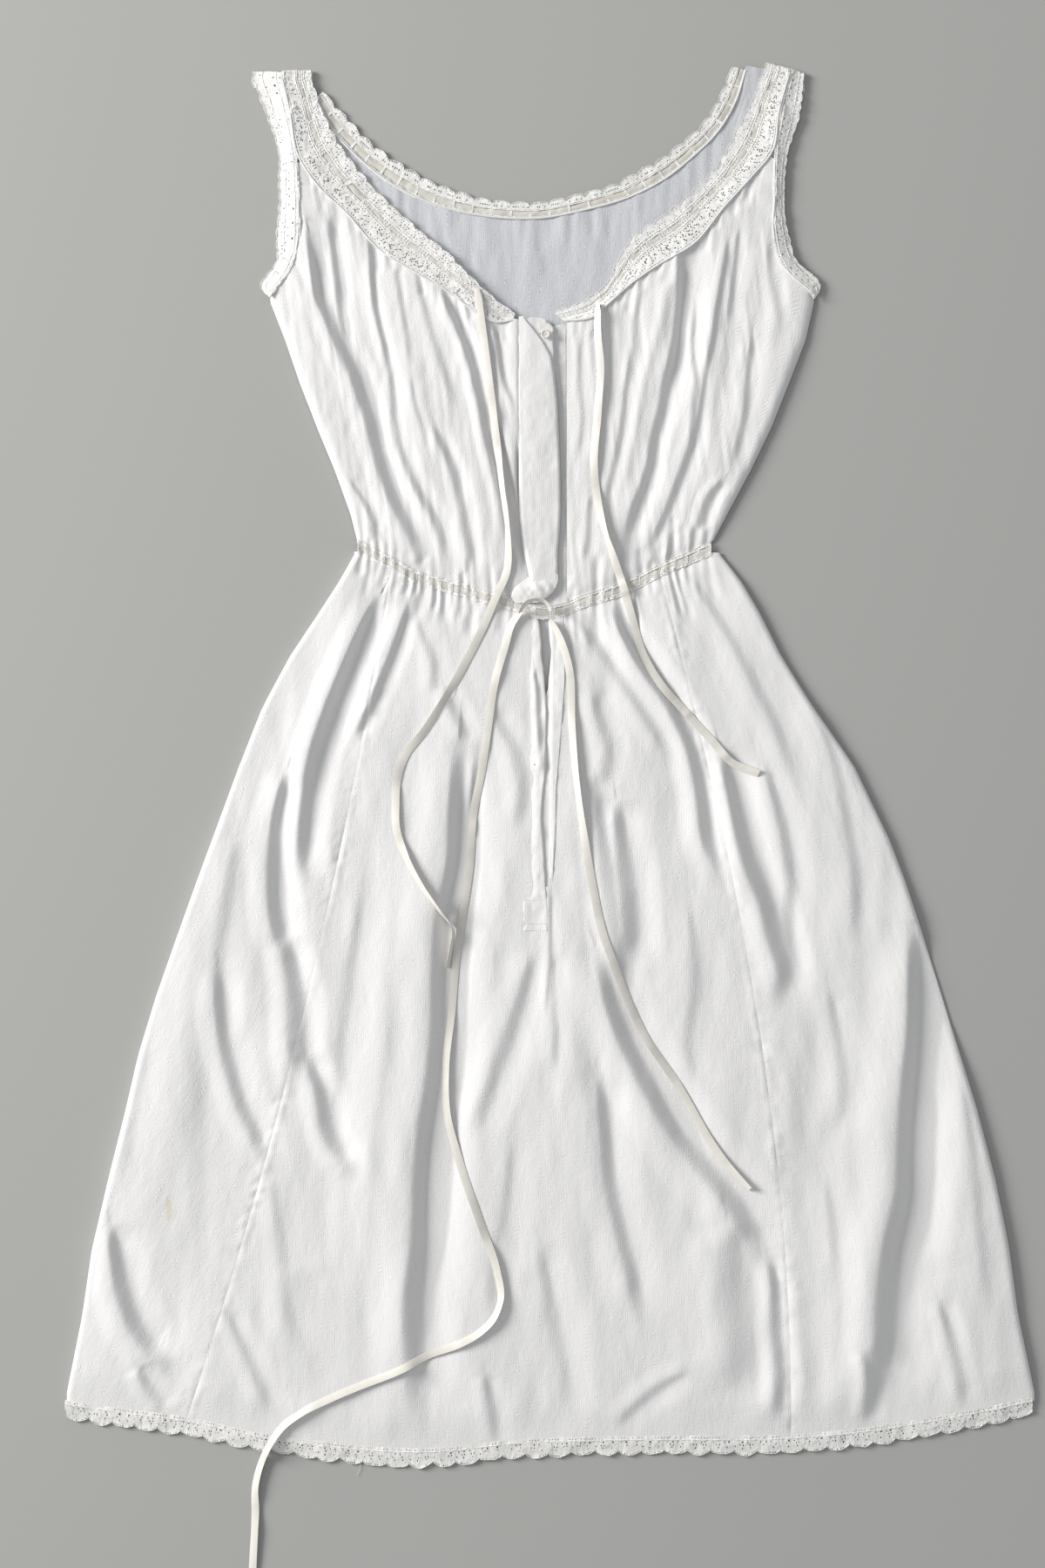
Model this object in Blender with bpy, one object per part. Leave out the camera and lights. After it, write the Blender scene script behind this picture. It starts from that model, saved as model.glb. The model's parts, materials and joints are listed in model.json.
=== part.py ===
"""A sleeveless lace dress laid flat on a floor, front up, with its neck towards +Y.

Sizes below are in millimetres and turn into metres when a mesh is made. x runs to the right as
the dress is seen from above, y runs from the hem to the neck, z runs up from the floor.
The back lies flat on the floor, and the front lies on it in low folds.
"""

import math
from collections import namedtuple

import bmesh
import bpy
import numpy as np
from mathutils import Vector
from mathutils.bvhtree import BVHTree

METRES_PER_MM = 0.001

# Thickness of each cloth as built, and the gaps kept between pieces
BACK_WALL = 1.2
FRONT_WALL_LEAST = 1.4
FRONT_WALL_MOST = 3.0
LACE_WALL = 1.0
RIBBON_WALL = 0.8
SEAM_GAP = 0.3
SEAM_INSET = 0.25

# Height of the front's upper surface above the floor
LOWEST_FRONT = 3.0
HIGHEST_FRONT = 10.5
SEAMED_EDGE_HEIGHT = 2.9
SIDE_ROLL = 9.0
SIDE_FOLD_RADIUS = 5.0
LACE_HEIGHT = 5.0
LACE_EDGE_HEIGHT = 2.8
LOWEST_BEADING = 3.7

# Repeats of the lace, and the ribbon threaded through it
SCALLOP_PITCH = 18.6
SCALLOP_DEPTH = 3.0
ARMHOLE_PITCH = 15.0
WAIST_BAR_PITCH = 10.2
WAIST_LACE_WIDTH = 8.6
HEM_LACE_DEPTH = 14.0
RIBBON_WIDTH = 6.35
TIE_STEP = 16.0
BUTTON_DIAMETER = 7.7

# Centre front
BAND_LEFT_X = -24.3
UNDER_BAND_LEFT_X = -14.0
UNDER_BAND_RIGHT_X = 14.0
SLIT_RIGHT_X = 1.0
SKIRT_BAND_LEFT_X = -22.0
SKIRT_BAND_RIGHT_X = 11.0
OVER_BAND_HEIGHT = 6.2
UNDER_BAND_HEIGHT = 3.4

SkirtLevel = namedtuple("SkirtLevel", "y edge_left seam_left seam_right edge_right")
SKIRT_LEVELS = (
    SkirtLevel(-545, -391.5, -277, 193, 391.5),
    SkirtLevel(-500, -387, -275, 194, 390),
    SkirtLevel(-450, -376, -267, 194, 378),
    SkirtLevel(-380, -365, -248, 188, 368),
    SkirtLevel(-300, -345, -221, 181, 350),
    SkirtLevel(-220, -326, -201, 169, 326),
    SkirtLevel(-140, -299, -184, 159, 301),
    SkirtLevel(-60, -270, -166, 141, 273),
    SkirtLevel(10, -244, -153, 123, 238),
    SkirtLevel(70, -218, -140, 110, 195),
    SkirtLevel(110, -192, -134, 103, 175),
    SkirtLevel(150, -166, -131, 94, 152),
    SkirtLevel(172, -154, -130, 90, 134),
)

LinePoint = namedtuple("LinePoint", "x y")
WAIST_LINE = (
    LinePoint(-156, 175),
    LinePoint(-126, 160),
    LinePoint(-110, 151),
    LinePoint(-88, 144),
    LinePoint(-60, 136),
    LinePoint(-33, 129),
    LinePoint(-5, 121),
    LinePoint(10, 123),
    LinePoint(30, 131),
    LinePoint(50, 137),
    LinePoint(70, 145),
    LinePoint(91, 156),
    LinePoint(112, 165),
    LinePoint(135, 174),
)
HEM_LINE = (
    LinePoint(-392, -511),
    LinePoint(-336, -519),
    LinePoint(-290, -525),
    LinePoint(-240, -536),
    LinePoint(-180, -545),
    LinePoint(-100, -550),
    LinePoint(-25, -543),
    LinePoint(75, -540),
    LinePoint(190, -539),
    LinePoint(265, -532),
    LinePoint(330, -521),
    LinePoint(392, -508),
)

EdgePoint = namedtuple("EdgePoint", "y x")
SIDE_LEFT = (
    EdgePoint(168, -154.5),
    EdgePoint(189, -157),
    EdgePoint(224, -167),
    EdgePoint(252, -180),
    EdgePoint(280, -190),
    EdgePoint(308, -201),
    EdgePoint(338, -211),
    EdgePoint(373, -224.5),
)
SIDE_RIGHT = (
    EdgePoint(168, 131),
    EdgePoint(189, 138),
    EdgePoint(224, 156),
    EdgePoint(245, 167),
    EdgePoint(266, 177),
    EdgePoint(294, 188),
    EdgePoint(336, 205),
    EdgePoint(373, 213.5),
)
BAND_RIGHT = (
    EdgePoint(152, 4),
    EdgePoint(170, 7),
    EdgePoint(196, 9),
    EdgePoint(258, 8),
    EdgePoint(306, 5),
    EdgePoint(331, 0),
    EdgePoint(345, -10),
    EdgePoint(358, -21),
)
SLIT_LEFT = (
    EdgePoint(-145, 0),
    EdgePoint(-107, -1.5),
    EdgePoint(-82, -9),
    EdgePoint(-37, -5),
    EdgePoint(9, -2),
    EdgePoint(56, -3),
    EdgePoint(82, -5),
    EdgePoint(120, -9),
)
BASE_HEIGHT = (
    EdgePoint(-560, 4.6),
    EdgePoint(-500, 5.6),
    EdgePoint(-200, 6.0),
    EdgePoint(60, 5.6),
    EdgePoint(130, 4.8),
    EdgePoint(170, 4.9),
    EdgePoint(240, 5.6),
    EdgePoint(330, 5.6),
    EdgePoint(400, 5.2),
    EdgePoint(560, 5.0),
)

# Each lace by its two edges, from the shoulder on. The sewn edge meets the cloth
LaceRow = namedtuple("LaceRow", "sewn_x sewn_y free_x free_y")
NECK_LACE_LEFT = (
    LaceRow(-214, 549, -190, 549),
    LaceRow(-208, 523, -184, 528),
    LaceRow(-201, 487, -173, 506),
    LaceRow(-186, 464, -159, 484),
    LaceRow(-163, 442, -137, 459),
    LaceRow(-137, 413, -111, 435),
    LaceRow(-106, 393, -85, 413),
    LaceRow(-79, 377, -65, 393),
    LaceRow(-59, 362, -49, 378),
    LaceRow(-42, 354, -36, 368),
    LaceRow(-27, 356, -26, 361),
)
NECK_LACE_RIGHT = (
    LaceRow(193, 554, 179, 557),
    LaceRow(184, 521, 168, 527),
    LaceRow(180, 493, 151, 504),
    LaceRow(161, 469, 136, 482),
    LaceRow(141, 447, 117, 461),
    LaceRow(116, 417, 93, 442),
    LaceRow(88, 400, 70, 425),
    LaceRow(66, 385, 55, 404),
    LaceRow(50, 371, 47, 386),
    LaceRow(35, 358, 26, 371),
    LaceRow(11, 355, 2, 362),
)
NECK_LACE_BACK = (
    LaceRow(-187, 534, -181, 540),
    LaceRow(-175, 511, -165, 522),
    LaceRow(-147, 481, -137, 494),
    LaceRow(-117, 460, -109, 476),
    LaceRow(-82, 446, -77, 461),
    LaceRow(-45, 439, -42, 452),
    LaceRow(-8, 438, -7, 451),
    LaceRow(30, 445, 26, 458),
    LaceRow(67, 456, 59, 469),
    LaceRow(92, 469, 83, 482),
    LaceRow(115, 487, 105, 498),
    LaceRow(136, 508, 125, 517),
    LaceRow(150, 532, 137, 536),
    LaceRow(158, 557, 147, 560),
)
ARMHOLE_LEFT = (
    LaceRow(-215.4, 549, -238, 549),
    LaceRow(-209.4, 523, -228, 523),
    LaceRow(-203.4, 488, -217, 490),
    LaceRow(-202, 468, -217, 468),
    LaceRow(-201, 446, -217, 446),
    LaceRow(-201, 430, -219, 424),
    LaceRow(-203, 412, -219, 405),
    LaceRow(-210, 394, -228, 391),
    LaceRow(-219, 382, -231.5, 385),
    LaceRow(-224, 374, -229, 378),
)
ARMHOLE_RIGHT = (
    LaceRow(194.4, 554, 205, 550),
    LaceRow(185.5, 521, 201, 522),
    LaceRow(181.6, 492, 192, 490),
    LaceRow(181, 470, 189, 467),
    LaceRow(181, 454, 189, 448),
    LaceRow(180, 427, 193, 424),
    LaceRow(185, 405, 200, 402),
    LaceRow(195, 391, 211, 393),
    LaceRow(208, 380, 217, 385),
    LaceRow(213, 373, 217.5, 378),
)

# Creases of the front, by the line each runs along. lift is up for a ridge, down for a trough;
# fade0 and fade1 are the shares of its length over which it rises at its ends
Fold = namedtuple("Fold", "x0 y0 x1 y1 bow width0 width1 lift fade0 fade1")
SKIRT_FOLDS = (
    Fold(-98, 135, -150, 20, 0, 10, 14, -2.2, 0.05, 0.3),
    Fold(-122, 134, -158, 0, 0, 10, 12, 2.0, 0.05, 0.3),
    Fold(-146, 140, -192, -65, 6, 10, 20, -2.4, 0.05, 0.4),
    Fold(-152, 158, -240, -80, 8, 12, 26, 2.4, 0.1, 0.4),
    Fold(-66, 129, -49, 85, 0, 7, 9, -1.5, 0.05, 0.4),
    Fold(-60, 70, -35, -40, 0, 14, 18, -1.5, 0.4, 0.4),
    Fold(-75, 10, -108, -460, 5, 12, 22, -3.0, 0.15, 0.25),
    Fold(-98, 0, -157, -430, -4, 18, 30, 3.4, 0.2, 0.2),
    Fold(-30, 20, -62, -75, 0, 12, 16, -1.5, 0.3, 0.3),
    Fold(-25, -150, -58, -280, 0, 14, 16, -1.6, 0.3, 0.3),
    Fold(18, -80, 24, -420, 0, 14, 22, 2.8, 0.2, 0.3),
    Fold(36, -150, 62, -440, -5, 12, 20, -2.4, 0.3, 0.3),
    Fold(60, -175, 143, -395, 0, 13, 24, -2.6, 0.25, 0.3),
    Fold(0, -380, 8, -545, 0, 12, 16, -2.2, 0.5, 0.0),
    Fold(-219, 15, -206, -160, -15, 14, 18, -2.4, 0.3, 0.4),
    Fold(-270, -180, -236, -320, -4, 16, 18, -1.8, 0.4, 0.4),
    Fold(-187, -220, -173, -305, 0, 12, 14, -1.2, 0.4, 0.4),
    Fold(-245, -20, -335, -400, 0, 20, 34, 1.8, 0.3, 0.3),
    Fold(39, 122, 62, 15, 0, 9, 14, -1.9, 0.05, 0.4),
    Fold(52, 118, 88, -20, 0, 9, 16, 2.0, 0.05, 0.4),
    Fold(67, 130, 124, -35, -6, 9, 15, -2.8, 0.05, 0.3),
    Fold(84, 140, 150, -40, 0, 10, 20, 2.0, 0.05, 0.4),
    Fold(124, 140, 262, -170, 0, 16, 30, 2.4, 0.2, 0.4),
    Fold(175, -20, 194, -120, 0, 12, 16, -1.6, 0.4, 0.4),
    Fold(299, -200, 261, -500, 10, 16, 22, -2.6, 0.25, 0.1),
    Fold(325, -230, 338, -490, 0, 20, 24, 1.5, 0.4, 0.2),
    Fold(262, -150, 232, -490, 8, 22, 30, 2.0, 0.4, 0.2),
    Fold(-104, -455, -104, -548, 0, 9, 12, -1.8, 0.5, 0.0),
    Fold(-60, -460, -48, -546, 0, 10, 12, 1.4, 0.5, 0.0),
    Fold(150, -440, 152, -540, 0, 12, 14, -1.6, 0.5, 0.0),
    Fold(-300, -430, -312, -524, 0, 12, 16, -1.5, 0.5, 0.0),
    Fold(-200, -440, -214, -540, 0, 14, 18, -1.4, 0.5, 0.0),
)
BODICE_FOLDS = (
    Fold(-197, 425, -99, 155, -4, 7, 9, -3.0, 0.15, 0.0),
    Fold(-151, 428, -78, 154, -9, 5, 8, -2.6, 0.0, 0.0),
    Fold(-183, 458, -166, 375, 0, 5, 6, -2.0, 0.0, 0.4),
    Fold(-92, 300, -62, 158, 4, 6, 7, -1.8, 0.3, 0.0),
    Fold(-91, 352, -75, 280, 0, 7, 7, -1.4, 0.3, 0.4),
    Fold(-83, 374, -34, 175, 6, 6, 8, -2.8, 0.0, 0.1),
    Fold(-48, 352, -21, 262, 0, 5, 6, -1.8, 0.1, 0.4),
    Fold(-42, 282, -25, 150, 0, 6, 6, -2.2, 0.4, 0.0),
    Fold(-157, 221, -133, 170, 0, 6, 6, -1.8, 0.3, 0.0),
    Fold(-178, 400, -116, 200, -3, 7, 9, 2.0, 0.3, 0.3),
    Fold(-126, 398, -86, 200, -6, 8, 9, 2.2, 0.1, 0.3),
    Fold(-103, 384, -62, 230, 0, 7, 8, 1.8, 0.1, 0.3),
    Fold(-210, 360, -150, 215, 3, 12, 12, 1.4, 0.3, 0.3),
    Fold(-62, 360, -38, 230, 0, 6, 7, 1.6, 0.1, 0.3),
    Fold(126, 422, 56, 165, 3, 6, 8, -3.2, 0.05, 0.0),
    Fold(159, 462, 146, 355, 3, 5, 8, -2.0, 0.0, 0.4),
    Fold(125, 310, 76, 158, 3, 6, 7, -2.0, 0.3, 0.0),
    Fold(68, 380, 42, 200, 0, 6, 8, -2.0, 0.0, 0.2),
    Fold(127, 216, 112, 168, 0, 6, 6, -1.8, 0.3, 0.0),
    Fold(100, 400, 68, 250, 0, 5, 7, -1.4, 0.0, 0.4),
    Fold(186, 430, 146, 280, 0, 8, 10, -1.6, 0.2, 0.4),
    Fold(14, 352, 14, 120, 0, 13, 13, -2.0, 0.0, 0.0),
    Fold(32, 356, 26, 150, 0, 6, 8, 1.2, 0.1, 0.1),
    Fold(144, 430, 104, 240, 0, 9, 11, 2.2, 0.1, 0.3),
    Fold(84, 392, 60, 230, 0, 7, 8, 2.0, 0.1, 0.3),
    Fold(112, 405, 84, 280, 0, 7, 8, 1.8, 0.1, 0.4),
    Fold(200, 372, 152, 232, 0, 9, 10, 1.4, 0.2, 0.3),
)

# Small gathers drawn up by the waist ribbon, above and below it
Gather = namedtuple("Gather", "first_x last_x count skirt_reach bodice_reach lift")
WAIST_GATHERS = Gather(-138, 122, 20, 44, 34, -1.3)

# Ribbon routes over the front, each from where it leaves the lace to its free end
TIE_NECK_LEFT = (
    (-58, 381), (-50, 322), (-43, 266), (-38, 224), (-33, 182), (-34, 154), (-43, 133),
    (-53, 109), (-73, 70), (-87, 46), (-100, 26), (-115, 7), (-122, -14), (-123, -33),
    (-122, -54), (-115, -74), (-102, -98), (-87, -119), (-77, -134), (-78, -148), (-81, -164),
)
TIE_NECK_RIGHT = (
    (39, 369), (39, 343), (41, 322), (39, 280), (36, 238), (42, 196), (51, 167), (59, 143),
    (67, 116), (75, 89), (90, 63), (109, 42), (130, 19), (148, 0), (160, -5), (168, -8),
)
TIE_WAIST_LEFT = (
    (-22, 122), (-28, 115), (-36, 92), (-44, 63), (-49, 29), (-54, -5), (-61, -42), (-64, -84),
    (-70, -126), (-75, -161), (-78, -196), (-83, -245), (-82, -280), (-71, -322), (-54, -371),
    (-42, -406), (-39, -430), (-45, -445), (-56, -456), (-72, -465), (-96, -474), (-125, -488),
    (-155, -500), (-176, -509), (-198, -520), (-214, -532), (-224, -546), (-231, -561),
    (-236, -581), (-236, -600), (-238, -644), (-239, -668),
)
TIE_WAIST_RIGHT = (
    (1, 116), (9, 100), (16, 76), (18, 35), (21, -5), (24, -30), (28, -58), (35, -98),
    (44, -139), (51, -158), (60, -182), (76, -217), (104, -259), (116, -280), (128, -301),
    (143, -322), (161, -341),
)
WAIST_LOOP = ((-24, 120), (-20, 127), (-11, 131), (-3, 129), (1, 122))

COLOURS = {
    "cloth": (0.84, 0.85, 0.87, 1.0),
    "lace": (0.87, 0.85, 0.80, 1.0),
    "ribbon": (0.88, 0.85, 0.78, 1.0),
    "button": (0.90, 0.88, 0.82, 1.0),
}
ROUGHNESS = {"cloth": 0.9, "lace": 0.85, "ribbon": 0.4, "button": 0.35}


def profile(rows):
    """A smooth function through rows of (position, value), positions rising."""
    positions = np.array([row[0] for row in rows], float)
    values = np.array([row[1] for row in rows], float)
    slopes = np.gradient(values, positions)

    def value_at(position):
        position = np.clip(np.asarray(position, float), positions[0], positions[-1])
        i = np.clip(np.searchsorted(positions, position, side="right") - 1, 0, len(positions) - 2)
        step = positions[i + 1] - positions[i]
        t = (position - positions[i]) / step
        return (
            (2 * t**3 - 3 * t**2 + 1) * values[i]
            + (t**3 - 2 * t**2 + t) * step * slopes[i]
            + (3 * t**2 - 2 * t**3) * values[i + 1]
            + (t**3 - t**2) * step * slopes[i + 1]
        )

    return value_at


def route(points):
    """A smooth path through the points as a function of distance along it, and its length."""
    points = np.array(points, float)
    chord = np.append(0.0, np.cumsum(np.linalg.norm(np.diff(points, axis=0), axis=1)))
    parts = [profile(list(zip(chord, points[:, k]))) for k in range(points.shape[1])]
    fine = np.linspace(0, chord[-1], 800)
    dense = np.stack([part(fine) for part in parts], axis=1)
    run = np.append(0.0, np.cumsum(np.linalg.norm(np.diff(dense, axis=0), axis=1)))

    def point_at(distance):
        where = np.interp(distance, run, fine)
        return np.stack([part(where) for part in parts], axis=-1)

    return point_at, run[-1]


def normals_of(points):
    """Unit left-hand normals along a row of 2-D points."""
    ahead = np.gradient(np.asarray(points, float), axis=0)
    ahead /= np.linalg.norm(ahead, axis=1, keepdims=True)
    return np.stack([-ahead[:, 1], ahead[:, 0]], axis=1)


def mix(a, b, share):
    return a + (b - a) * share


base_height = profile(BASE_HEIGHT)
waist_y = profile(WAIST_LINE)
hem_y = profile(HEM_LINE)
side_left = profile(SIDE_LEFT)
side_right = profile(SIDE_RIGHT)
band_right = profile(BAND_RIGHT)
slit_left = profile(SLIT_LEFT)
edge_left = profile([(level.y, level.edge_left) for level in SKIRT_LEVELS])
edge_right = profile([(level.y, level.edge_right) for level in SKIRT_LEVELS])
seam_left = profile([(level.y, level.seam_left) for level in SKIRT_LEVELS])
seam_right = profile([(level.y, level.seam_right) for level in SKIRT_LEVELS])


def waist_gathers():
    """Short folds fanning away from the waist line, above and below it."""
    gathers = []
    centre = (WAIST_GATHERS.first_x + WAIST_GATHERS.last_x) / 2
    for i in range(WAIST_GATHERS.count):
        x = mix(WAIST_GATHERS.first_x, WAIST_GATHERS.last_x, i / (WAIST_GATHERS.count - 1))
        x += 2.0 * math.sin(2.3 * i)
        y = float(waist_y(x))
        flare = 0.35 * (x - centre) / (WAIST_GATHERS.last_x - centre)
        below = WAIST_GATHERS.skirt_reach * (1.0 + 0.35 * math.sin(1.7 * i + 1.0))
        above = WAIST_GATHERS.bodice_reach * (1.0 + 0.35 * math.sin(2.1 * i))
        lift = WAIST_GATHERS.lift
        gathers.append(Fold(x, y, x + flare * below, y - below, 0, 4.5, 8, lift, 0.0, 0.8))
        gathers.append(Fold(x, y, x + flare * above, y + above, 0, 4.5, 7, lift, 0.0, 0.8))
    return tuple(gathers)


ALL_FOLDS = SKIRT_FOLDS + BODICE_FOLDS + waist_gathers()


def fold_lift(fold, x, y):
    """How far one fold lifts the cloth at x, y."""
    run_x, run_y = fold.x1 - fold.x0, fold.y1 - fold.y0
    length = math.hypot(run_x, run_y)
    along = ((x - fold.x0) * run_x + (y - fold.y0) * run_y) / length**2
    across = ((x - fold.x0) * run_y - (y - fold.y0) * run_x) / length
    sign = 1.0 if run_y >= 0 else -1.0
    across = across * sign - fold.bow * 4 * along * (1 - along)
    width = mix(fold.width0, fold.width1, np.clip(along, 0, 1))
    bell = np.where(np.abs(across) < width, 0.5 + 0.5 * np.cos(math.pi * across / width), 0.0)
    rise = np.clip(along / fold.fade0, 0, 1) if fold.fade0 else np.where(along > -0.02, 1.0, 0.0)
    fall = np.clip((1 - along) / fold.fade1, 0, 1) if fold.fade1 else np.where(along < 1.02, 1.0, 0.0)
    return fold.lift * bell * rise**2 * (3 - 2 * rise) * fall**2 * (3 - 2 * fall)


def front_height(x, y):
    """Height of the upper surface of the dress's front."""
    x, y = np.broadcast_arrays(np.asarray(x, float), np.asarray(y, float))
    height = base_height(y)
    for fold in ALL_FOLDS:
        height = height + fold_lift(fold, x, y)
    return np.clip(height, LOWEST_FRONT, HIGHEST_FRONT)


def rolled(height, from_edge):
    """The height, brought down in a round to a seamed edge."""
    reach = np.clip(from_edge / SIDE_ROLL, 0, 1)
    return SEAMED_EDGE_HEIGHT + (height - SEAMED_EDGE_HEIGHT) * np.sqrt(1 - (1 - reach) ** 2)


def front_wall(height):
    """The wall is thicker in the ridges, so that the hollow under them stays low."""
    return np.clip(1.5 + 0.35 * (height - 5.5), FRONT_WALL_LEAST, FRONT_WALL_MOST)


def material_named(name):
    material = bpy.data.materials.get(name)
    if material is None:
        material = bpy.data.materials.new(name)
        material.use_nodes = True
        shader = material.node_tree.nodes["Principled BSDF"]
        shader.inputs["Base Color"].default_value = COLOURS[name]
        shader.inputs["Roughness"].default_value = ROUGHNESS[name]
        shader.inputs["Metallic"].default_value = 0.0
    return material


def finish(name, shape, material):
    """Turns a bmesh in millimetres into an object in metres."""
    bmesh.ops.recalc_face_normals(shape, faces=shape.faces)
    bmesh.ops.scale(shape, vec=(METRES_PER_MM,) * 3, verts=shape.verts)
    mesh = bpy.data.meshes.new(name)
    shape.to_mesh(mesh)
    shape.free()
    made = bpy.data.objects.new(name, mesh)
    mesh.materials.append(material_named(material))
    bpy.context.scene.collection.objects.link(made)
    mesh.shade_smooth()
    mesh.set_sharp_from_angle(angle=math.radians(50))
    return made


def wall(name, outer, inner, material, keep=None):
    """A closed wall between two grids of points, with the cells that keep leaves out cut through."""
    rows, columns = outer.shape[:2]
    kept = np.ones((rows - 1, columns - 1), bool) if keep is None else keep
    shape = bmesh.new()
    made = {}

    def corner(side, i, j):
        if (side, i, j) not in made:
            made[side, i, j] = shape.verts.new((outer, inner)[side][i, j])
        return made[side, i, j]

    def is_kept(i, j):
        return 0 <= i < rows - 1 and 0 <= j < columns - 1 and kept[i, j]

    for i in range(rows - 1):
        for j in range(columns - 1):
            if not kept[i, j]:
                continue
            ring = ((i, j), (i + 1, j), (i + 1, j + 1), (i, j + 1))
            for half in (ring[:3], (ring[0], ring[2], ring[3])):
                shape.faces.new([corner(0, *at) for at in half])
                shape.faces.new([corner(1, *at) for at in reversed(half)])
            beyond = ((i, j - 1), (i + 1, j), (i, j + 1), (i - 1, j))
            for k in range(4):
                if not is_kept(*beyond[k]):
                    a, b = ring[k], ring[(k + 1) % 4]
                    shape.faces.new([corner(0, *b), corner(0, *a), corner(1, *a), corner(1, *b)])
    return finish(name, shape, material)


def flat_piece(name, outline, material, low=0.0, high=BACK_WALL):
    """A flat piece of the given outline between two heights."""
    shape = bmesh.new()
    face = shape.faces.new([shape.verts.new((x, y, low)) for x, y in outline])
    raised = bmesh.ops.extrude_face_region(shape, geom=[face])["geom"]
    for item in raised:
        if isinstance(item, bmesh.types.BMVert):
            item.co.z = high
    return finish(name, shape, material)


def grid(x, y, z):
    return np.stack(np.broadcast_arrays(x, y, z), axis=-1).astype(float)


class Pile:
    """What has been laid so far, to find the height that a further piece rests on."""

    def __init__(self):
        self.points = []
        self.faces = []

    def add(self, *objects):
        for item in objects:
            first = len(self.points)
            self.points += [vertex.co / METRES_PER_MM for vertex in item.data.vertices]
            self.faces += [[first + v for v in face.vertices] for face in item.data.polygons]

    def top(self):
        tree = BVHTree.FromPolygons(self.points, self.faces)

        def height(x, y):
            hit = tree.ray_cast(Vector((float(x), float(y), 60.0)), Vector((0.0, 0.0, -1.0)))
            return hit[0].z if hit[0] is not None else 0.0

        return height


pile = Pile()

# The skirt's rows, as shares of the way from waist to hem. Two of them end the slit and its strip
SKIRT_ROWS = (
    0.0, 0.03, 0.07, 0.12, 0.18, 0.25, 0.34, 0.388, 0.45, 0.52, 0.59, 0.66, 0.74, 0.82, 0.9, 1.0,
)
SLIT_END_ROW = SKIRT_ROWS.index(0.34)
STRIP_END_ROW = SKIRT_ROWS.index(0.388)


def meeting_y(x_at, line, drop, guess):
    """Where a column, whose x is a function of y, meets a line that much above the drop."""
    y = guess
    for _ in range(8):
        y = float(line(x_at(y))) - drop
    return y


def skirt_rows(x_at):
    """Rows of x, y down one column of the skirt, whose x is a function of y."""
    top = meeting_y(x_at, waist_y, WAIST_LACE_WIDTH / 2 + SEAM_INSET, 130.0)
    bottom = meeting_y(x_at, hem_y, 0.0, -540.0)
    y = mix(top, bottom, np.array(SKIRT_ROWS))
    return x_at(y), y


def skirt_front_columns():
    """The panel's columns as functions of y, with the number of each that bounds the slit and strips."""
    anchors = (
        lambda y: seam_left(y) + SEAM_INSET,
        lambda y: SKIRT_BAND_LEFT_X + 0 * y,
        slit_left,
        lambda y: SLIT_RIGHT_X + 0 * y,
        lambda y: SKIRT_BAND_RIGHT_X + 0 * y,
        lambda y: seam_right(y) - SEAM_INSET,
    )
    counts = (17, 2, 1, 1, 14)
    columns = []
    for k, count in enumerate(counts):
        for step in range(count):
            columns.append(lambda y, k=k, s=step / count: mix(anchors[k](y), anchors[k + 1](y), s))
    columns.append(anchors[-1])
    bounds = np.append(0, np.cumsum(counts))
    return columns, bounds


def make_skirt_front():
    columns, bounds = skirt_front_columns()
    x, y = (np.stack(part, axis=1) for part in zip(*(skirt_rows(column) for column in columns)))
    z = front_height(x, y)
    outer = grid(x, y, z)
    inner = grid(x, y, z - front_wall(z))
    keep = np.ones((len(x) - 1, len(columns) - 1), bool)
    keep[:SLIT_END_ROW, bounds[2]] = False
    pile.add(wall("skirt_front", outer, inner, "cloth", keep))

    strips = (
        ("skirt_band_over", bounds[1], bounds[2], STRIP_END_ROW),
        ("skirt_band_under", bounds[3], bounds[4], SLIT_END_ROW),
    )
    for name, first, last, end in strips:
        on_panel = outer[: end + 1, first : last + 1]
        lower = on_panel + np.array((0, 0, SEAM_GAP))
        upper = lower + np.array((0, 0, LACE_WALL))
        pile.add(wall(name, upper, lower, "cloth"))


def make_skirt_side(name, seam, edge, outward):
    """A side panel: over the front, round the side fold and back under to the back seam."""
    over_steps, turn_steps = 8, 4
    under_columns = (5, 2, 0)
    outer_rows, inner_rows = [], []
    shares = np.linspace(0, 1, over_steps + 1)
    columns = []
    for share in shares:
        columns.append(
            lambda y, s=share: mix(seam(y) + outward * SEAM_INSET, edge(y) - outward * SIDE_FOLD_RADIUS, s)
        )
    x, y = (np.stack(part, axis=1) for part in zip(*(skirt_rows(column) for column in columns)))
    z = front_height(x, y)
    z_in = z - front_wall(z)
    for i in range(len(x)):
        turn_x, turn_y, top_z, top_in = x[i, -1], y[i, -1], z[i, -1], z_in[i, -1]
        outer = [(x[i, j], y[i, j], z[i, j]) for j in range(over_steps)]
        inner = [(x[i, j], y[i, j], z_in[i, j]) for j in range(over_steps)]
        middle_in = (top_in + BACK_WALL) / 2
        for k in range(turn_steps + 1):
            angle = math.pi * (0.5 - k / turn_steps)
            reach = outward * math.cos(angle)
            outer.append(
                (turn_x + reach * SIDE_FOLD_RADIUS, turn_y, top_z / 2 * (1 + math.sin(angle)))
            )
            inner.append(
                (
                    turn_x + reach * (SIDE_FOLD_RADIUS - BACK_WALL),
                    turn_y,
                    middle_in + (top_in - middle_in) * math.sin(angle),
                )
            )
        for j in under_columns:
            outer.append((x[i, j], y[i, j], 0.0))
            inner.append((x[i, j], y[i, j], BACK_WALL))
        outer_rows.append(outer)
        inner_rows.append(inner)
    pile.add(wall(name, np.array(outer_rows), np.array(inner_rows), "cloth"))


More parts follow.
